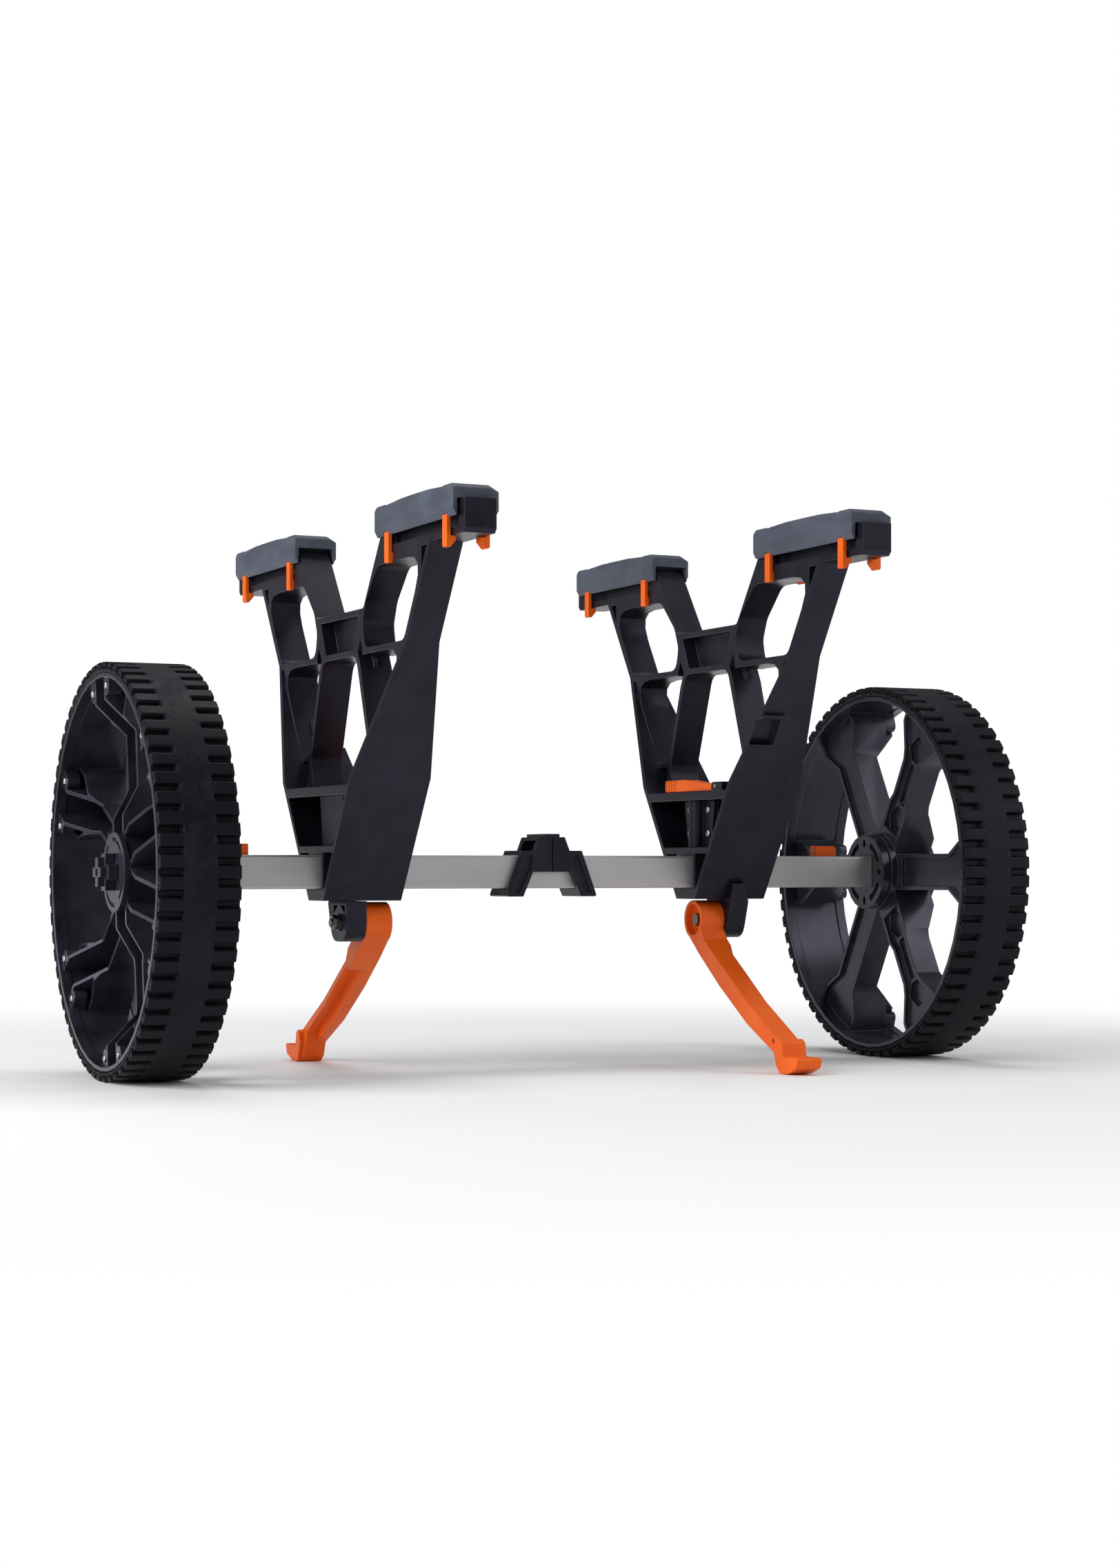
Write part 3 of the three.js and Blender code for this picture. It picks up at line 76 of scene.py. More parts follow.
cad = frame["nodes"]


# Axle tube: a square bar of aluminium that everything else stands on. It is drawn through a
# die, which leaves fine lines along it, and then etched satin, so it shines without a mirror.
class Wire:
    """One output of a node. Python's operators on it add Math nodes to the same tree."""

    def __init__(self, tree, socket=None):
        self.tree = tree
        self.socket = socket

    def add(self, kind, settings=None, sockets=None, out=0):
        """A new node: its settings first, then the values or links of its sockets."""
        made = self.tree.nodes.new(kind)
        for name, value in (settings or {}).items():
            setattr(made, name, value)
        for name, value in (sockets or {}).items():
            if isinstance(value, Wire):
                self.tree.links.new(value.socket, made.inputs[name])
            else:
                made.inputs[name].default_value = value
        return Wire(self.tree, made.outputs[out])

    def maths(self, operation, *values):
        return self.add("ShaderNodeMath", {"operation": operation}, dict(enumerate(values)))

    def __add__(self, other):
        return self.maths("ADD", self, other)

    def __radd__(self, other):
        return self.maths("ADD", other, self)

    def __sub__(self, other):
        return self.maths("SUBTRACT", self, other)

    def __rsub__(self, other):
        return self.maths("SUBTRACT", other, self)

    def __mul__(self, other):
        return self.maths("MULTIPLY", self, other)

    def __rmul__(self, other):
        return self.maths("MULTIPLY", other, self)

    def __pow__(self, other):
        return self.maths("POWER", self, other)

    def clamped(self, low, high):
        """0 where this is low or less, 1 where it is high or more, and smooth between."""
        spread = {"Value": self, "From Min": low, "From Max": high}
        return self.add("ShaderNodeMapRange", {"interpolation_type": "SMOOTHSTEP"}, spread)

    def mixed(self, first, second):
        """first where this is 0 and second where it is 1, each a colour or a wire."""
        sockets = {0: self}
        for index, colour in ((6, first), (7, second)):
            sockets[index] = colour if isinstance(colour, Wire) else (*colour, 1)
        return self.add("ShaderNodeMix", {"data_type": "RGBA"}, sockets, out=2)

    def bumped(self, strength, distance, normal=None):
        """The surface's normal, tipped as if this were its height."""
        sockets = {"Height": self, "Strength": strength, "Distance": distance}
        if normal:
            sockets["Normal"] = normal
        return self.add("ShaderNodeBump", None, sockets)


def new_finish(name):
    """A fresh material: itself, its shader, its object coordinates as a wire."""
    material = bpy.data.materials.new(name)
    material.use_nodes = True
    tree = material.node_tree
    shader = tree.nodes["Principled BSDF"]
    place = Wire(tree).add("ShaderNodeTexCoord", out="Object")
    return material, shader, place


def feed(shader, wires):
    """Joins wires to the shader's own sockets."""
    for name, wire in wires.items():
        wire.tree.links.new(wire.socket, shader.inputs[name])


def grained(place, scale, detail=3.0, stretch=(1.0, 1.0, 1.0), seed=0.0):
    """Soft noise that is scale cells to the metre, stretched along some axes."""
    spot = place.add("ShaderNodeMapping", None, {"Vector": place, "Scale": stretch})
    settings = {"noise_dimensions": "4D"}
    sockets = {"Vector": spot, "W": seed, "Scale": scale, "Detail": detail}
    return place.add("ShaderNodeTexNoise", settings, sockets)


def softened(place, radius, samples=4):
    """The surface's normal, turned near an edge as if the edge were rounded."""
    return place.add("ShaderNodeBevel", {"samples": samples}, {"Radius": radius})


def put_on(material, *names):
    """Gives CAD nodes a material, in the slots they already have."""
    for name in names:
        for slot in cad[name].material_slots:
            slot.material = material


def satin_aluminium():
    """Drawn aluminium: long fine lines, a slow haze, and spots rubbed smoother."""
    material, shader, place = new_finish("satin aluminium")
    drawn = grained(place, scale=120, detail=4, stretch=(0.03, 14, 14), seed=1)
    haze = grained(place, scale=26, detail=3, stretch=(0.4, 1, 1), seed=2)
    rubbed = grained(place, scale=60, detail=5, stretch=(3, 0.5, 0.5), seed=3)
    tone = (drawn * 0.4 + haze * 0.6).clamped(0.3, 0.7)
    rounded = softened(place, radius=0.0009)
    feed(shader, {
        "Base Color": tone.mixed((0.42, 0.41, 0.405), (0.50, 0.49, 0.485)),
        "Roughness": 0.40 + drawn * 0.1 - rubbed.clamped(0.58, 0.72) * 0.05,
        "Normal": drawn.bumped(strength=0.2, distance=0.00003, normal=rounded),
    })
    shader.inputs["Metallic"].default_value = 0.85
    return material


put_on(satin_aluminium(), "axle_tube")


# Centre bracket: a moulded black saddle that clips over the tube halfway, with a small V nest
# on top. Like every black piece here it is glass-filled nylon out of a finely etched mould.
def edge_turn(place, rounded):
    """How far the surface turns here, from 0 on a flat face up to about 1 on an edge."""
    flat = place.add("ShaderNodeNewGeometry", out="Normal")
    normals = {0: rounded, 1: flat}
    facing = place.add("ShaderNodeVectorMath", {"operation": "DOT_PRODUCT"}, normals, out=1)
    return (1.0 - facing) * 5.0


def moulded(name, shade, light_shade, edge_highlight, roughness, rounding, gloss):
    """Moulded plastic: fine etched grain, slow flow marks, and a painted highlight along every
    edge, broken up by handling wear.
    """
    material, shader, place = new_finish(name)
    etched = grained(place, scale=1500, detail=2, seed=4)
    flow = grained(place, scale=16, detail=4, stretch=(1, 1, 0.45), seed=5)
    handled = grained(place, scale=48, detail=5, seed=6)
    swirl = grained(place, scale=7, detail=2, stretch=(1, 1, 0.3), seed=18)
    rounded = softened(place, rounding, samples=6)
    # The paler edge colour is a painted highlight: every edge, hollow ones too, is painted paler,
    # in patches from the handling-wear noise.
    edge = edge_turn(place, rounded).clamped(0.05, 1) * (0.35 + handled * 0.65)
    tone = (flow * 0.5 + handled * 0.5).clamped(0.36, 0.66)
    waved = swirl.bumped(strength=0.25, distance=0.0012, normal=rounded)
    feed(shader, {
        "Base Color": (edge * 0.75).mixed(tone.mixed(shade, light_shade), edge_highlight),
        "Roughness": roughness + (flow - 0.5) * 0.2 + (handled - 0.5) * 0.14,
        "Normal": etched.bumped(strength=0.3, distance=0.00005, normal=waved),
    })
    shader.inputs["Specular IOR Level"].default_value = gloss
    shader.inputs["Specular Tint"].default_value = (0.80, 0.78, 1.0, 1)
    return material


def new_object(name, data):
    """An object at the origin, in the scene."""
    made = bpy.data.objects.new(name, data)
    bpy.context.scene.collection.objects.link(made)
    return made


def smooth_but_creased(mesh, crease):
    """Shades a mesh smooth, except where it turns by more than crease degrees."""
    mesh.shade_smooth()
    mesh.set_sharp_from_angle(angle=math.radians(crease))


def smoothed_copy(name, source, crease):
    """A copy of a mesh with its doubled points merged, smooth but for its creases."""
    shape = bmesh.new()
    shape.from_mesh(source)
    bmesh.ops.remove_doubles(shape, verts=shape.verts, dist=1e-6)
    points = [point.co.copy() for point in shape.verts]
    shape.verts.index_update()
    faces = [[point.index for point in face.verts] for face in shape.faces]
    shape.free()
    mesh = bpy.data.meshes.new(name)
    mesh.from_pydata(points, [], faces)
    mesh.update()
    smooth_but_creased(mesh, crease)
    return mesh


def baked(piece):
    """Turns an object with modifiers into one plain mesh."""
    graph = bpy.context.evaluated_depsgraph_get()
    result = bpy.data.meshes.new_from_object(piece.evaluated_get(graph))
    piece.modifiers.clear()
    piece.data = result
    return piece


def refined(node, material, crease=34.0):
    """A smooth copy of a CAD node that stands for it, on the node's own body."""
    mesh = smoothed_copy(f"{node}_surface", cad[node].data, crease)
    mesh.materials.append(material)
    piece = new_object(f"{node}_surface", mesh)
    weighted = piece.modifiers.new("even faces", "WEIGHTED_NORMAL")
    weighted.keep_sharp = True
    weighted.weight = 90
    baked(piece)
    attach(piece, body_of(cad[node])[0])
    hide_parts(node)
    return piece


black = moulded(
    "moulded black",
    shade=(0.0056, 0.0050, 0.0088),
    light_shade=(0.0145, 0.0132, 0.0208),
    edge_highlight=(0.052, 0.052, 0.068),
    roughness=0.36,
    rounding=0.0011,
    # The edge colour is a painted highlight.
    gloss=0.28,
)
refined("centre_bracket", black)


# Wheels: each rim is one moulding, with six dished spokes round a barrel and a round slotted
# cap at its inner end. It turns on a spindle with a flange, and a four-armed plug retains it.
# The wheels' black has a base colour about 1.7 times paler than the other black's. This is a
# painted reflection that stands in for the sheen of the surroundings on the wheels; the higher
# gloss is the plastic's own.
sheen_painted_wheel_black = moulded(
    "wheel black with painted sheen",
    shade=(0.0090, 0.0092, 0.0134),
    light_shade=(0.0255, 0.0262, 0.0372),
    # The edge colour is a painted highlight.
    edge_highlight=(0.064, 0.067, 0.086),
    roughness=0.29,
    rounding=0.0010,
    gloss=0.42,
)
wheel_sides = {"left": -1, "right": 1}
wheel_radius = 0.1524
wheel_plane = 0.3217
for side in wheel_sides:
    for part_name in ("rim", "hub_cap", "spindle", "axle_plug"):
        refined(f"{side}_{part_name}", sheen_painted_wheel_black)


# Tyres: a band of black rubber is moulded on each rim, with a smooth middle and a row of
# lugs along either shoulder, one row half a pitch behind the other. One pitch is modelled.
def new_maker(name, sockets):
    """An empty tree of geometry nodes, with what it is given as wires."""
    tree = bpy.data.node_groups.new(name, "GeometryNodeTree")
    for socket, kind in sockets.items():
        tree.interface.new_socket(socket, in_out="INPUT", socket_type=kind)
    tree.interface.new_socket("Made", in_out="OUTPUT", socket_type="NodeSocketGeometry")
    start = tree.nodes.new("NodeGroupInput")
    return tree, {socket: Wire(tree, start.outputs[socket]) for socket in sockets}


def end_maker(shape, finish):
    """Gives what a tree has made its material, and sends it out."""
    shape = shape.add("GeometryNodeSetMaterial", None, {"Geometry": shape, "Material": finish})
    end = shape.tree.nodes.new("NodeGroupOutput")
    shape.tree.links.new(shape.socket, end.inputs["Made"])
    return shape.tree


def repeated_round_axle():
    """Geometry nodes that repeat what comes in round the X axis, then move it to a centre."""
    tree, given = new_maker("repeated round the axle", {
        "Pitch": "NodeSocketGeometry",
        "Count": "NodeSocketInt",
        "Start": "NodeSocketFloat",
        "Centre": "NodeSocketVector",
        "Weld": "NodeSocketFloat",
        "Finish": "NodeSocketMaterial",
    })
    step = Wire(tree).maths("DIVIDE", math.tau, given["Count"])
    turn = given["Start"] + step.add("GeometryNodeInputIndex") * step
    rotation = turn.add("ShaderNodeCombineXYZ", None, {"X": turn})
    points = turn.add("GeometryNodePoints", None, {"Count": given["Count"]})
    placed = {"Points": points, "Instance": given["Pitch"], "Rotation": rotation}
    ring = turn.add("GeometryNodeInstanceOnPoints", None, placed)
    ring = turn.add("GeometryNodeRealizeInstances", None, {"Geometry": ring})
    welded = {"Geometry": ring, "Distance": given["Weld"]}
    ring = turn.add("GeometryNodeMergeByDistance", None, welded)
    moved = {"Geometry": ring, "Translation": given["Centre"]}
    ring = turn.add("GeometryNodeTransform", None, moved)
    return end_maker(ring, given["Finish"])


def grown(name, mesh, tree, values):
    """The plain mesh that a tree of geometry nodes makes out of a small one."""
    piece = new_object(name, mesh)
    modifier = piece.modifiers.new(tree.name, "NODES")
    modifier.node_group = tree
    for socket in tree.interface.items_tree:
        if socket.in_out == "INPUT" and socket.name in values:
            modifier[socket.identifier] = values[socket.name]
    return baked(piece)


# Measures of the tread, in metres: the bore is the inner radius, a row the length of a lug.
tread = {
    "lugs": 64,
    "half": 0.029,
    "bore": 0.1450,
    "bead": 0.0035,
    "row": 0.017,
    "gap": 0.0060,
    "floor": 0.0036,
    "depth": 0.0044,
    "round": 0.0007,
    "wall_ease": 0.0004,
    "end_ease": 0.0018,
    "weld": 0.00002,
}
# How far in and down a lug's rounded outer end goes, in steps of the rounding.
lug_rounding = ((0, 2), (0.3, 0.7), (1, 0.1), (2.4, 0))
# Where the tread is cut across: from its side, from a lug's inner end, and from its middle.
side_cuts = (0.006, 0.010)
lug_end_cuts = (0.0022, 0.0012, 0.0006, 0, -0.0006, -0.0012)
middle_cuts = (0.0075, 0.0035, 0.0)
bore_cuts = (-0.015, 0.0, 0.015)
# Where one gap is cut along the tread, from the gap's middle.
gap_cuts = (0.0, 0.0012, 0.0018, 0.0022, 0.0026, 0.0030, 0.0034)


def eased(value):
    """A smooth step from 0 to 1."""
    value = min(max(value, 0), 1)
    return value * value * (3 - 2 * value)


def tread_profile():
    """Places across the band from one bead to the other, each with its radius."""
    half, bore, soft = tread["half"], tread["bore"], tread["round"]
    inner = half - tread["row"]
    across = [
        (half - soft, bore),
        (half, bore + soft),
        (half, bore + tread["bead"]),
        (half, wheel_radius - tread["depth"]),
    ]
    across += [(half - inward * soft, wheel_radius - down * soft) for inward, down in lug_rounding]
    places = [half - cut for cut in side_cuts] + [inner + cut for cut in lug_end_cuts]
    across += [(place, wheel_radius) for place in (*places, *middle_cuts)]
    across += [(-place, radius) for place, radius in reversed(across[:-1])]
    return across + [(place, bore) for place in bore_cuts]


def gap_share(turn, place):
    """How deep the gap between two lugs is here, from 0 on a lug to 1 on the gap's floor."""
    stagger = 0 if place > 0 else 0.5
    pitch = math.tau * wheel_radius / tread["lugs"]
    away = abs((turn - stagger + 0.5) % 1 - 0.5) * pitch
    wide, narrow = tread["gap"] / 2, tread["floor"] / 2
    wall_ease, end_ease = tread["wall_ease"], tread["end_ease"]
    past_end = abs(place) - (tread["half"] - tread["row"]) + end_ease / 2
    wall = eased((wide + wall_ease - away) / (wide - narrow + wall_ease))
    return wall * eased(past_end / end_ease)


def tread_pitch(mirror):
    """One pitch of the tread, with its two staggered gaps."""
    pitch = math.tau * wheel_radius / tread["lugs"]
    half_turns = [place / pitch for place in gap_cuts]
    turns = {round(value, 6) for value in half_turns + [0.5 - value for value in half_turns]}
    turns = sorted(turns)
    turns = [-value for value in reversed(turns[1:])] + turns
    profile = tread_profile()
    points = []
    for turn in turns:
        angle = turn * math.tau / tread["lugs"]
        for place, radius in profile:
            floor = min(radius, wheel_radius - tread["depth"])
            radius += (floor - radius) * gap_share(turn, place)
            points.append((mirror * place, -radius * math.sin(angle), radius * math.cos(angle)))
    count = len(profile)
    faces = []
    for column in range(len(turns) - 1):
        for row in range(count):
            after = (row + 1) % count
            start = column * count
            face = [start + row, start + after, start + count + after, start + count + row]
            faces.append(face if mirror > 0 else face[::-1])
    mesh = bpy.data.meshes.new("tread_pitch")
    mesh.from_pydata(points, [], faces)
    mesh.shade_smooth()
    return mesh


def tyre_rubber():
    """Dull rubber: mould lines round it, dust in the middle, and darker gaps between the lugs."""
    material, shader, place = new_finish("tyre rubber")
    along, across, up = (
        place.add("ShaderNodeSeparateXYZ", None, {0: place}, out=axis) for axis in "XYZ"
    )
    up = up - wheel_radius
    radius = (across * across + up * up) ** 0.5
    from_middle = along.maths("ABSOLUTE", along.maths("ABSOLUTE", along) - wheel_plane)
    middle = 1.0 - from_middle.clamped(0.009, 0.014)
    # The pale dust is kept to the outer face of the tread, so the gaps between the lugs stay
    # darker.
    top = radius.clamped(wheel_radius - 0.003, wheel_radius - 0.0004)
    dust = grained(place, scale=34, detail=6, seed=7)
    mottle = grained(place, scale=240, detail=4, seed=8)
    grain = grained(place, scale=1300, detail=2, seed=9)
    pale = (dust * 0.6 + mottle * 0.4).clamped(0.4, 0.66) * (0.25 + middle * 0.75) * top
    lines = along.maths("SINE", along * 5200.0) * middle
    height = grain * 0.5 + lines * 0.22 + mottle * 0.25
    feed(shader, {
        "Base Color": pale.mixed((0.0034, 0.0034, 0.0048), (0.0105, 0.0108, 0.0150)),
        "Roughness": 0.52 + pale * 0.2 + (mottle - 0.5) * 0.14,
        "Normal": height.bumped(strength=0.5, distance=0.00009),
    })
    shader.inputs["Specular IOR Level"].default_value = 0.17
    shader.inputs["Specular Tint"].default_value = (0.84, 0.84, 1.0, 1)
    return material


rubber = tyre_rubber()
round_axle = repeated_round_axle()
for side, sign in wheel_sides.items():
    tyre = grown(f"{side}_treaded_tyre", tread_pitch(sign), round_axle, {
        "Count": tread["lugs"],
        "Start": 0.0,
        "Centre": (sign * wheel_plane, 0.0, wheel_radius),
        "Weld": tread["weld"],
        "Finish": rubber,
    })
    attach(tyre, f"{side}_wheel")
    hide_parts(f"{side}_tyre")


# Screws: two small cross-headed steel screws hold each spoke's outer corner to the rim's
# lip, and four hold the plate over each latch. Every head is turned, then struck with a cross.
screw_steps = 24
# Out and along for each ring of a head, in shares of its radius.
screw_dome = ((1, 0), (1, 0.25), (0.9, 0.42), (0.66, 0.53))
screw_cross = {"arm": 0.5, "narrow": 0.13, "rim": 0.55, "floor": 0.18}


def screw_mesh(radius):
    """A domed head on the X axis with a cross struck into it, base at the origin."""
    shape = bmesh.new()
    loops = []
    for out, along in screw_dome:
        ring = []
        for index in range(screw_steps):
            angle = index * math.tau / screw_steps + math.tau / (2 * screw_steps)
            ring.append(shape.verts.new((
                along * radius,
                out * radius * math.cos(angle),
                out * radius * math.sin(angle),
            )))
        loops.append(ring)
    arm, narrow = screw_cross["arm"] * radius, screw_cross["narrow"] * radius
    cross = [(arm, narrow), (narrow, narrow), (narrow, arm)]
    cross += [(-narrow, arm), (-narrow, narrow), (-arm, narrow)]
    cross += [(-across, -up) for across, up in cross]
    for along in (screw_cross["rim"], screw_cross["floor"]):
        loops.append([shape.verts.new((along * radius, across, up)) for across, up in cross])
    for first, second in zip(loops, loops[1:]):
        edges = [shape.edges.get((a, b)) or shape.edges.new((a, b))
                 for ring in (first, second) for a, b in zip(ring, ring[1:] + ring[:1])]
        bmesh.ops.bridge_loops(shape, edges=edges)
    shape.faces.new(loops[0][::-1])
    shape.faces.new(loops[-1])
    bmesh.ops.recalc_face_normals(shape, faces=shape.faces)
    mesh = bpy.data.meshes.new("screw_head")
    shape.to_mesh(mesh)
    shape.free()
    smooth_but_creased(mesh, crease=35)
    return mesh


def turned_steel(name, shade, light_shade):
    """Plated steel: turning marks and a faint bloom."""
    material, shader, place = new_finish(name)
    bloom = grained(place, scale=300, detail=4, seed=10)
    marks = grained(place, scale=2600, detail=2, seed=11)
    rounded = softened(place, radius=0.0004)
    feed(shader, {
        "Base Color": bloom.clamped(0.35, 0.7).mixed(shade, light_shade),
        "Roughness": 0.26 + bloom * 0.16,
        "Normal": marks.bumped(strength=0.3, distance=0.00003, normal=rounded),
    })
    shader.inputs["Metallic"].default_value = 1.0
    return material


steel = turned_steel("plated steel", (0.46, 0.455, 0.44), (0.62, 0.615, 0.60))
spoke_screws = {"count": 6, "face": 0.0253, "out": 0.1344, "spread": 0.0185, "head": 0.0026}
spoke_turns = {"left": 67, "right": 30}
for side, sign in wheel_sides.items():
    pair = bmesh.new()
    for across in (-spoke_screws["spread"], spoke_screws["spread"]):
        head = screw_mesh(spoke_screws["head"])
        head.transform(Matrix.Translation((spoke_screws["face"], across, spoke_screws["out"])))
        pair.from_mesh(head)
    mesh = bpy.data.meshes.new("spoke_screws")
    pair.to_mesh(mesh)
    pair.free()
    if sign < 0:
        mesh.transform(Matrix.Rotation(math.pi, 4, "Z"))
    screws = grown(f"{side}_spoke_screws", mesh, round_axle, {
        "Count": spoke_screws["count"],
        "Start": sign * math.radians(spoke_turns[side]),
        "Centre": (sign * wheel_plane, 0.0, wheel_radius),
        "Weld": 0.0,
        "Finish": steel,
    })
    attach(screws, f"{side}_wheel")


# Release buttons: an orange key stands out of the tube behind each wheel, on a small spring.
# Pressing it lets the wheel's spindle come out of the tube.
def orange_plastic():
    """Dyed nylon: an even grain, slightly paler where it is rubbed along its edges."""
    material, shader, place = new_finish("orange plastic")
    etched = grained(place, scale=1500, detail=2, seed=12)
    cloud = grained(place, scale=22, detail=4, seed=13)
    rub = grained(place, scale=90, detail=5, seed=14)
    rounded = softened(place, radius=0.0012, samples=6)
    edge = edge_turn(place, rounded).clamped(0.1, 1) * rub.clamped(0.4, 0.6)
    base = cloud.clamped(0.3, 0.7).mixed((0.82, 0.108, 0.005), (0.92, 0.145, 0.008))
    feed(shader, {
        "Base Color": (edge * 0.35).mixed(base, (0.97, 0.27, 0.05)),
        "Roughness": 0.40 + (rub - 0.5) * 0.16,
        "Normal": etched.bumped(strength=0.3, distance=0.00005, normal=rounded),
    })
    shader.inputs["Specular IOR Level"].default_value = 0.25
    return material


def squeezed_spring(node):
    """A smooth steel copy of a coil spring's CAD node, with a mesh of its own."""
    spring = refined(node, steel)
    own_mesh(spring)


orange = orange_plastic()
for side in wheel_sides:
    refined(f"{side}_release_button", orange)
    squeezed_spring(f"{side}_button_spring")


# Towers: each upright V is one deep moulding, a truss of thin ribs between two leaning side
# walls. Its lower box slides on the tube, and a plate screwed over the latch closes the box.
tower_plane = 0.1555
cover_screws = {"face": 0.0185, "across": 0.032, "low": 0.0307, "high": 0.050, "head": 0.0031}


def repeated_on_plate():
    """Geometry nodes that put four copies at the corners of an upright rectangle."""
    tree, given = new_maker("at the corners of a plate", {
        "Screw": "NodeSocketGeometry",
        "Across": "NodeSocketFloat",
        "Rise": "NodeSocketFloat",
        "Centre": "NodeSocketVector",
        "Finish": "NodeSocketMaterial",
    })
    plate = Wire(tree).add("GeometryNodeMeshGrid", None, {
        "Size X": given["Rise"],
        "Size Y": given["Across"],
        "Vertices X": 2,
        "Vertices Y": 2,
    })
    upright = plate.add("ShaderNodeCombineXYZ", None, {"Y": math.pi / 2})
    plate = plate.add("GeometryNodeTransform", None, {
        "Geometry": plate,
        "Translation": given["Centre"],
        "Rotation": upright,
    })
    placed = {"Points": plate, "Instance": given["Screw"]}
    screws = plate.add("GeometryNodeInstanceOnPoints", None, placed)
    screws = plate.add("GeometryNodeRealizeInstances", None, {"Geometry": screws})
    return end_maker(screws, given["Finish"])


on_plate = repeated_on_plate()
for side, sign in wheel_sides.items():
    refined(f"{side}_frame", black)
    refined(f"{side}_latch_cover", black)
    head = screw_mesh(cover_screws["head"])
    if sign > 0:
        head.transform(Matrix.Rotation(math.pi, 4, "Z"))
    middle = wheel_radius + (cover_screws["low"] + cover_screws["high"]) / 2
    screws = grown(f"{side}_cover_screws", head, on_plate, {
        "Across": cover_screws["across"],
        "Rise": cover_screws["high"] - cover_screws["low"],
        "Centre": (sign * (tower_plane - cover_screws["face"]), 0.0, middle),
        "Finish": steel,
    })
    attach(screws, f"{side}_tower")


# Latches: an orange lever with a ribbed grip turns on a steel pin and lifts the plunger that
# a spring presses on the tube.
for side in wheel_sides:
    refined(f"{side}_latch_lever", orange)
    refined(f"{side}_plunger", black)
    put_on(steel, f"{side}_lever_pin")
    squeezed_spring(f"{side}_plunger_spring")


# Kickstands: a black foot under each box carries an orange leg on a bolt, with a washer and
# a nut behind. The leg folds up against the tower.
dark_steel = turned_steel("oiled steel", (0.13, 0.125, 0.12), (0.26, 0.25, 0.24))
for side in wheel_sides:
    refined(f"{side}_kickstand_bracket", black)
    refined(f"{side}_kickstand", orange)
    for part_name in ("bolt", "washer", "nut"):
        put_on(dark_steel, f"{side}_kickstand_{part_name}")


# Pads: a firm saddle of moulded closed-cell foam lies over the tray on each arm. Its top bows
# up a little between two shallow cross grooves, and its ends flare out round the clips.
pad_shape = {
    "half": 0.0172,
    "flare": 0.0007,
    "flare_until": 0.016,
    "flare_fade": 0.012,
    "lip": 0.0142,
    "lip_least": 0.0006,
    "lip_round": 0.0002,
    "ceiling": 0.0118,
    "ceiling_round": 0.0008,
    "under_in": 0.0036,
    "under_up": 0.0044,
    "under_round": 0.0003,
    "steep_in": 0.0012,
    "steep_down": 0.0018,
    "slope_in": 0.0074,
    "slope_down": 0.0046,
    "slope_kept": 0.3,
    "end_drop": 0.0030,
    "end_run": 0.0040,
    "end_in": 0.0006,
    "end_worn": 0.0004,
    "corner": 0.0032,
    "crown": 0.0012,
    "crown_run": 0.034,
    "groove": 0.0008,
    "groove_half": 0.0032,
    "groove_place": 0.0225,
    "round": 0.0006,
}
# Where a pad is cut across, from its end: over the step, round the groove, and to the crown.
pad_end_cuts = (0.0, 0.0004, 0.0012, 0.0020, 0.0026, 0.0030, 0.0034, 0.0037, 0.0040, 0.0043)
pad_flare_cuts = (0.0046, 0.0055, 0.009, 0.013, 0.016)
pad_groove_cuts = (-0.0034, -0.0024, -0.0015, -0.0007, 0, 0.0007, 0.0015, 0.0024, 0.0034)
pad_crown_cuts = (0.030, 0.036, 0.043, 0.050)


def rounded_outline(corners, steps=3):
    """Points round a closed outline of (across, up, radius) corners."""
    points = []
    count = len(corners)
    for index, (across, up, radius) in enumerate(corners):
        here = Vector((across, up))
        before = Vector(corners[index - 1][:2]) - here
        after = Vector(corners[(index + 1) % count][:2]) - here
        reach = min(radius, before.length * 0.48, after.length * 0.48)
        first = here + before.normalized() * reach
        last = here + after.normalized() * reach
        for step in range(steps + 1):
            share = step / steps
            low = first.lerp(here, share)
            high = here.lerp(last, share)
            points.append(low.lerp(high, share))
    return points


def ramped(value, run, soft):
    """Rises evenly from 0 to 1 over a run, then stays, with the kink at its end rounded."""
    if value <= run - soft:
        return value / run
    if value >= run + soft:
        return 1.0
    left = run + soft - value
    return 1 - left * left / (4 * soft * run)


def pad_section(low, top, near_end):
    """The pad cut across at near_end from its closer end: a thick channel, open below."""
    shape = pad_shape
    ease = shape["round"]
    whole = ramped(near_end, shape["end_run"], ease)
    cornered = ramped(near_end, shape["corner"], ease)
    worn = (1 - min(near_end / shape["end_worn"], 1)) * shape["end_worn"]
    bowed = eased((near_end - shape["groove_place"]) / shape["crown_run"])
    groove = 1 - eased(abs(near_end - shape["groove_place"]) / shape["groove_half"])
    high = top - (1 - whole) * shape["end_drop"]
    high += bowed * shape["crown"] - groove * shape["groove"] - worn
    flared = 1 - eased((near_end - shape["flare_until"]) / shape["flare_fade"])
    wide = shape["half"] + shape["flare"] * flared
    left = wide - (1 - cornered) * shape["end_in"] - worn
    right = wide - (1 - cornered) * shape["corner"] - worn
    sloped = shape["slope_kept"] + (1 - shape["slope_kept"]) * whole
    lip, under = shape["lip"], low + shape["under_up"]
    least = lip + shape["lip_least"]
    corners = [
        (lip, low, shape["lip_round"]),
        (max(right - shape["under_in"], least), low, shape["under_round"]),
        (right, under, ease),
        (right, high - shape["slope_down"] * sloped, ease),
        (wide - shape["slope_in"], high, ease),
        (shape["steep_in"] - wide, high, ease),
        (-left, high - shape["steep_down"] * sloped, ease),
        (-left, under, ease),
        (-max(left - shape["under_in"], least), low, shape["under_round"]),
        (-lip, low, shape["lip_round"]),
        (-lip, low + shape["ceiling"], shape["ceiling_round"]),
        (lip, low + shape["ceiling"], shape["ceiling_round"]),
    ]
    return rounded_outline(corners)


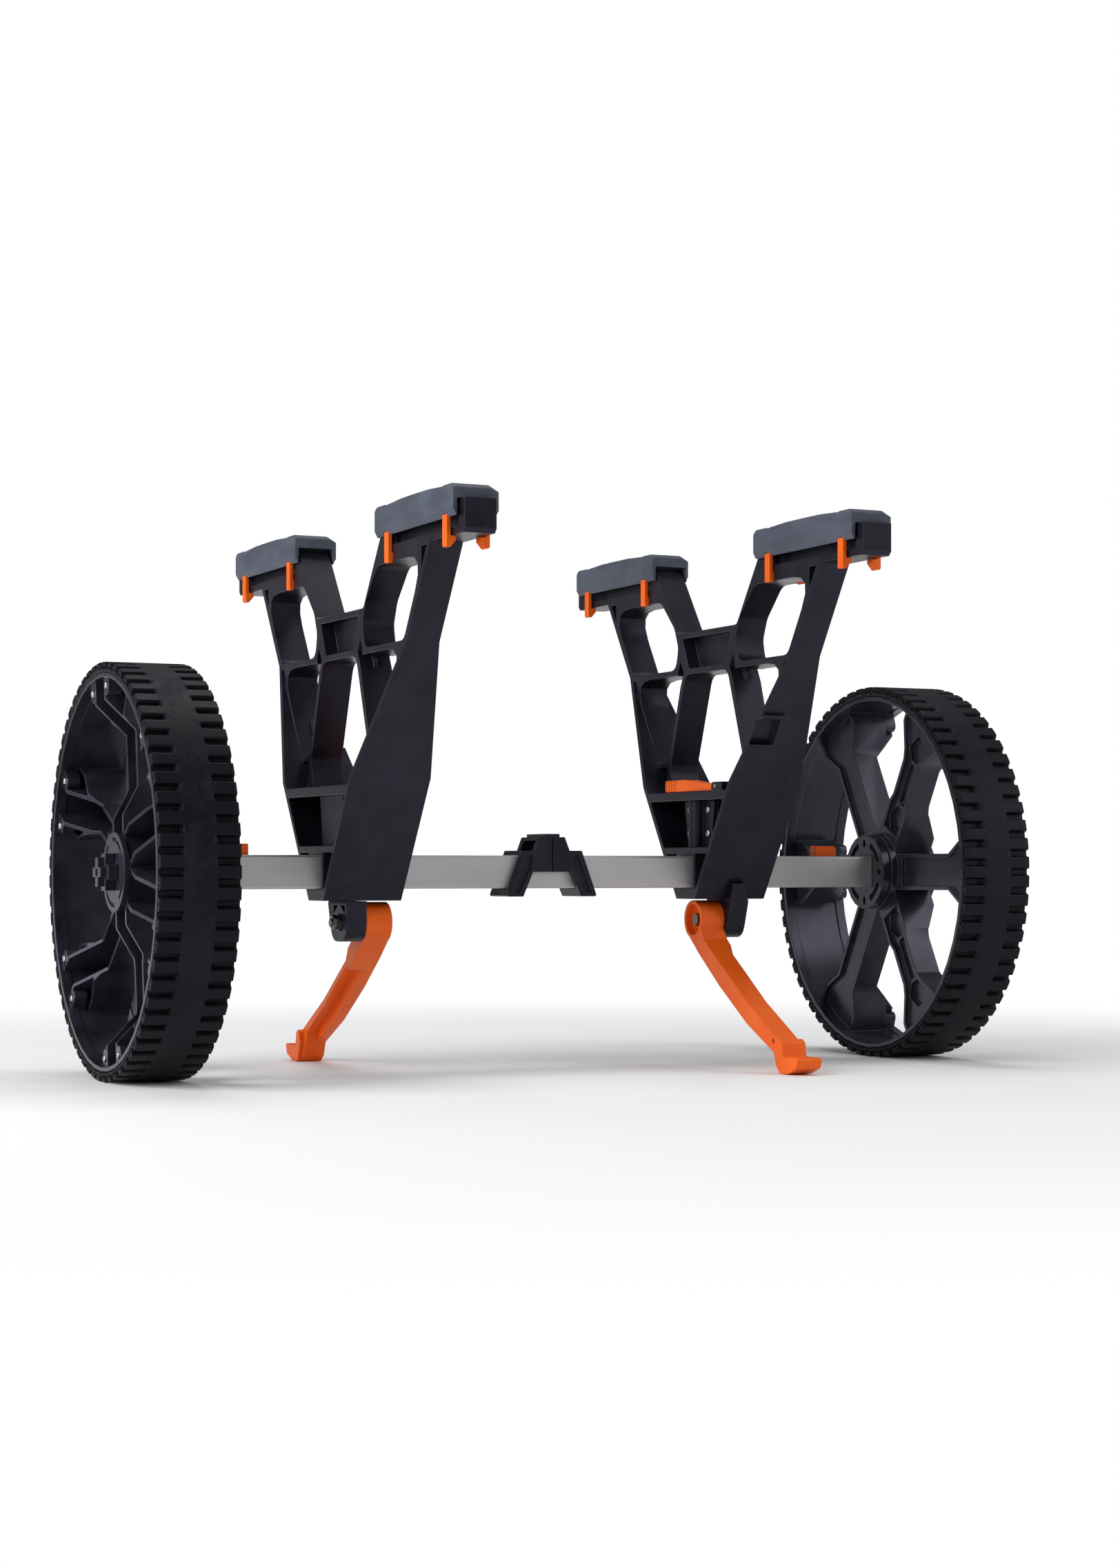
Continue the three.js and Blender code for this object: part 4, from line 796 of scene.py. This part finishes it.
def pad_mesh(name, lowest, highest):
    """A pad in the space its CAD solid holds."""
    middle = (lowest.x + highest.x) / 2
    length = highest.y - lowest.y
    near = [*pad_end_cuts, *pad_flare_cuts]
    near += [pad_shape["groove_place"] + cut for cut in pad_groove_cuts]
    near += pad_crown_cuts
    stations = near + [length / 2] + [length - place for place in reversed(near)]
    points = []
    for station in stations:
        section = pad_section(lowest.z, highest.z, min(station, length - station))
        points += [(middle + across, lowest.y + station, up) for across, up in section]
    count = len(points) // len(stations)
    last = len(points) - count
    faces = []
    for start in range(0, last, count):
        for index in range(count):
            here = start + index
            after = start + (index + 1) % count
            faces.append((here, after, after + count, here + count))
    faces.append(tuple(reversed(range(count))))
    faces.append(tuple(range(last, len(points))))
    mesh = bpy.data.meshes.new(name)
    mesh.from_pydata(points, [], faces)
    shape = bmesh.new()
    shape.from_mesh(mesh)
    bmesh.ops.recalc_face_normals(shape, faces=shape.faces)
    shape.to_mesh(mesh)
    shape.free()
    return mesh


def box_tool(name, lowest, highest):
    """A closed box, used to cut room for a clip."""
    shape = bmesh.new()
    bmesh.ops.create_cube(shape, size=1)
    size = highest - lowest
    for point in shape.verts:
        point.co = Vector((point.co.x * size.x, point.co.y * size.y, point.co.z * size.z))
        point.co += (highest + lowest) / 2
    mesh = bpy.data.meshes.new(name)
    shape.to_mesh(mesh)
    shape.free()
    return new_object(name, mesh)


def pad_foam():
    """Closed-cell rubber: a dull bluish grey skin with tiny pores and soft scuffs."""
    material, shader, place = new_finish("pad rubber")
    pores = grained(place, scale=1100, detail=3, seed=15)
    cloud = grained(place, scale=24, detail=5, seed=16)
    scuff = grained(place, scale=120, detail=5, stretch=(1, 0.25, 1), seed=17)
    tone = (cloud * 0.6 + scuff * 0.4).clamped(0.38, 0.64)
    height = pores * 0.7 + scuff * 0.3
    rounded = softened(place, radius=0.0006)
    feed(shader, {
        "Base Color": tone.mixed((0.058, 0.066, 0.089), (0.084, 0.095, 0.124)),
        "Roughness": 0.56 + (scuff - 0.5) * 0.16,
        "Normal": height.bumped(strength=0.35, distance=0.00007, normal=rounded),
    })
    shader.inputs["Specular IOR Level"].default_value = 0.2
    return material


foam = pad_foam()
arm_ends = ("stand_side", "plain_side")
clip_names = ("inner_clip", "outer_clip")
clip_room = Vector((0.0003, 0.0003, 0.0003))
for side in wheel_sides:
    for end in arm_ends:
        node = f"{side}_{end}_pad"
        lowest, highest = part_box(node)
        mesh = pad_mesh(f"{side}_{end}_soft_pad", lowest, highest)
        mesh.materials.append(foam)
        pad = new_object(f"{side}_{end}_soft_pad", mesh)
        tools = []
        for clip in clip_names:
            clip_low, clip_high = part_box(f"{side}_{end}_{clip}")
            tool = box_tool(f"{node}_{clip}_room", clip_low - clip_room, clip_high + clip_room)
            tools.append(tool)
            cutter = pad.modifiers.new(clip, "BOOLEAN")
            cutter.operation = "DIFFERENCE"
            cutter.solver = "EXACT"
            cutter.object = tool
        baked(pad)
        for tool in tools:
            bpy.data.objects.remove(tool)
        smooth_but_creased(pad.data, crease=38)
        weighted = pad.modifiers.new("even faces", "WEIGHTED_NORMAL")
        weighted.keep_sharp = True
        baked(pad)
        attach(pad, f"{side}_tower")
        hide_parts(node)


# Clips: two orange straps go over each tray under the pad and hook beneath it on both sides.
# They are the same dyed nylon as the levers and the kickstands.
for side in wheel_sides:
    for end in arm_ends:
        for clip in clip_names:
            refined(f"{side}_{end}_{clip}", orange)


# Studio: a pale floor that keeps the cart's shadow and fades into white, under three large
# soft lamps and an even sky.
floor_half = 30
fade_start, fade_end = 0.4, 1.2
lamp_aim = (0, 0, 0.2)


def floor_finish():
    """Matt pale grey near the cart, and plain white to the camera further away."""
    material, shader, place = new_finish("studio floor")
    tree = place.tree
    shader.inputs["Base Color"].default_value = (0.9, 0.9, 0.9, 1)
    shader.inputs["Roughness"].default_value = 0.9
    away = place.add("ShaderNodeVectorMath", {"operation": "LENGTH"}, {0: place}, out=1)
    white = place.add("ShaderNodeEmission", None, {"Color": (1, 1, 1, 1), "Strength": 1.0})
    seen = place.add("ShaderNodeLightPath", out="Is Camera Ray")
    mirrored = place.add("ShaderNodeLightPath", out="Is Glossy Ray")
    fade = away.clamped(fade_start, fade_end) * (seen + mirrored).clamped(0.0, 1.0)
    layers = {0: fade, 1: Wire(tree, shader.outputs[0]), 2: white}
    blended = place.add("ShaderNodeMixShader", None, layers)
    tree.links.new(blended.socket, tree.nodes["Material Output"].inputs["Surface"])
    return material


def soft_lamp(name, place, size, power):
    """A large softbox that faces the cart."""
    lamp = bpy.data.lights.new(name, "AREA")
    lamp.shape = "RECTANGLE"
    lamp.size, lamp.size_y = size
    lamp.energy = power
    stand = new_object(name, lamp)
    stand.location = place
    aim = Vector(lamp_aim) - Vector(place)
    stand.rotation_euler = aim.to_track_quat("-Z", "Y").to_euler()


floor_mesh = bpy.data.meshes.new("floor")
floor_corners = [(across * floor_half, along * floor_half, 0)
                 for across, along in ((-1, -1), (1, -1), (1, 1), (-1, 1))]
floor_mesh.from_pydata(floor_corners, [], [(0, 1, 2, 3)])
floor_mesh.materials.append(floor_finish())
floor = new_object("floor", floor_mesh)

soft_lamp("left softbox", place=(-2.1, -0.3, 1.1), size=(1.5, 1.9), power=54)
soft_lamp("right softbox", place=(1.9, -1.3, 1.2), size=(1.3, 1.9), power=24)
soft_lamp("top softbox", place=(0.2, 0.5, 2.1), size=(1.6, 1.0), power=17)

world = bpy.data.worlds.new("studio")
world.use_nodes = True
bpy.context.scene.world = world
sky = Wire(world.node_tree)
seen = sky.add("ShaderNodeLightPath", out="Is Camera Ray")
even = sky.add("ShaderNodeBackground", None, {"Color": (0.93, 0.95, 1.0, 1), "Strength": 0.2})
white = sky.add("ShaderNodeBackground", None, {"Color": (1, 1, 1, 1), "Strength": 1.0})
sky = sky.add("ShaderNodeMixShader", None, {0: seen, 1: even, 2: white})
world.node_tree.links.new(sky.socket, world.node_tree.nodes["World Output"].inputs["Surface"])


# Camera: a long lens a little over two metres off, level with the axle and turned about 26
# degrees to the cart, which gives the photograph's view.
photo_width, photo_height = 1624, 2274
focal_pixels = 4064.6
picture_centre = (930.3, 1262.3)
sensor_width = 36
camera_place = (-0.8863, -2.0003, wheel_radius + 0.0012)
camera_turn = -25.91
lens = bpy.data.cameras.new("photo camera")
lens.sensor_fit = "HORIZONTAL"
lens.sensor_width = sensor_width
lens.lens = focal_pixels * sensor_width / photo_width
lens.shift_x = (photo_width / 2 - picture_centre[0]) / photo_width
lens.shift_y = (picture_centre[1] - photo_height / 2) / photo_width
camera = new_object("photo camera", lens)
camera.location = camera_place
camera.rotation_euler = (math.radians(90), 0, math.radians(camera_turn))
bpy.context.scene.camera = camera
bpy.context.scene.view_settings.view_transform = "Standard"
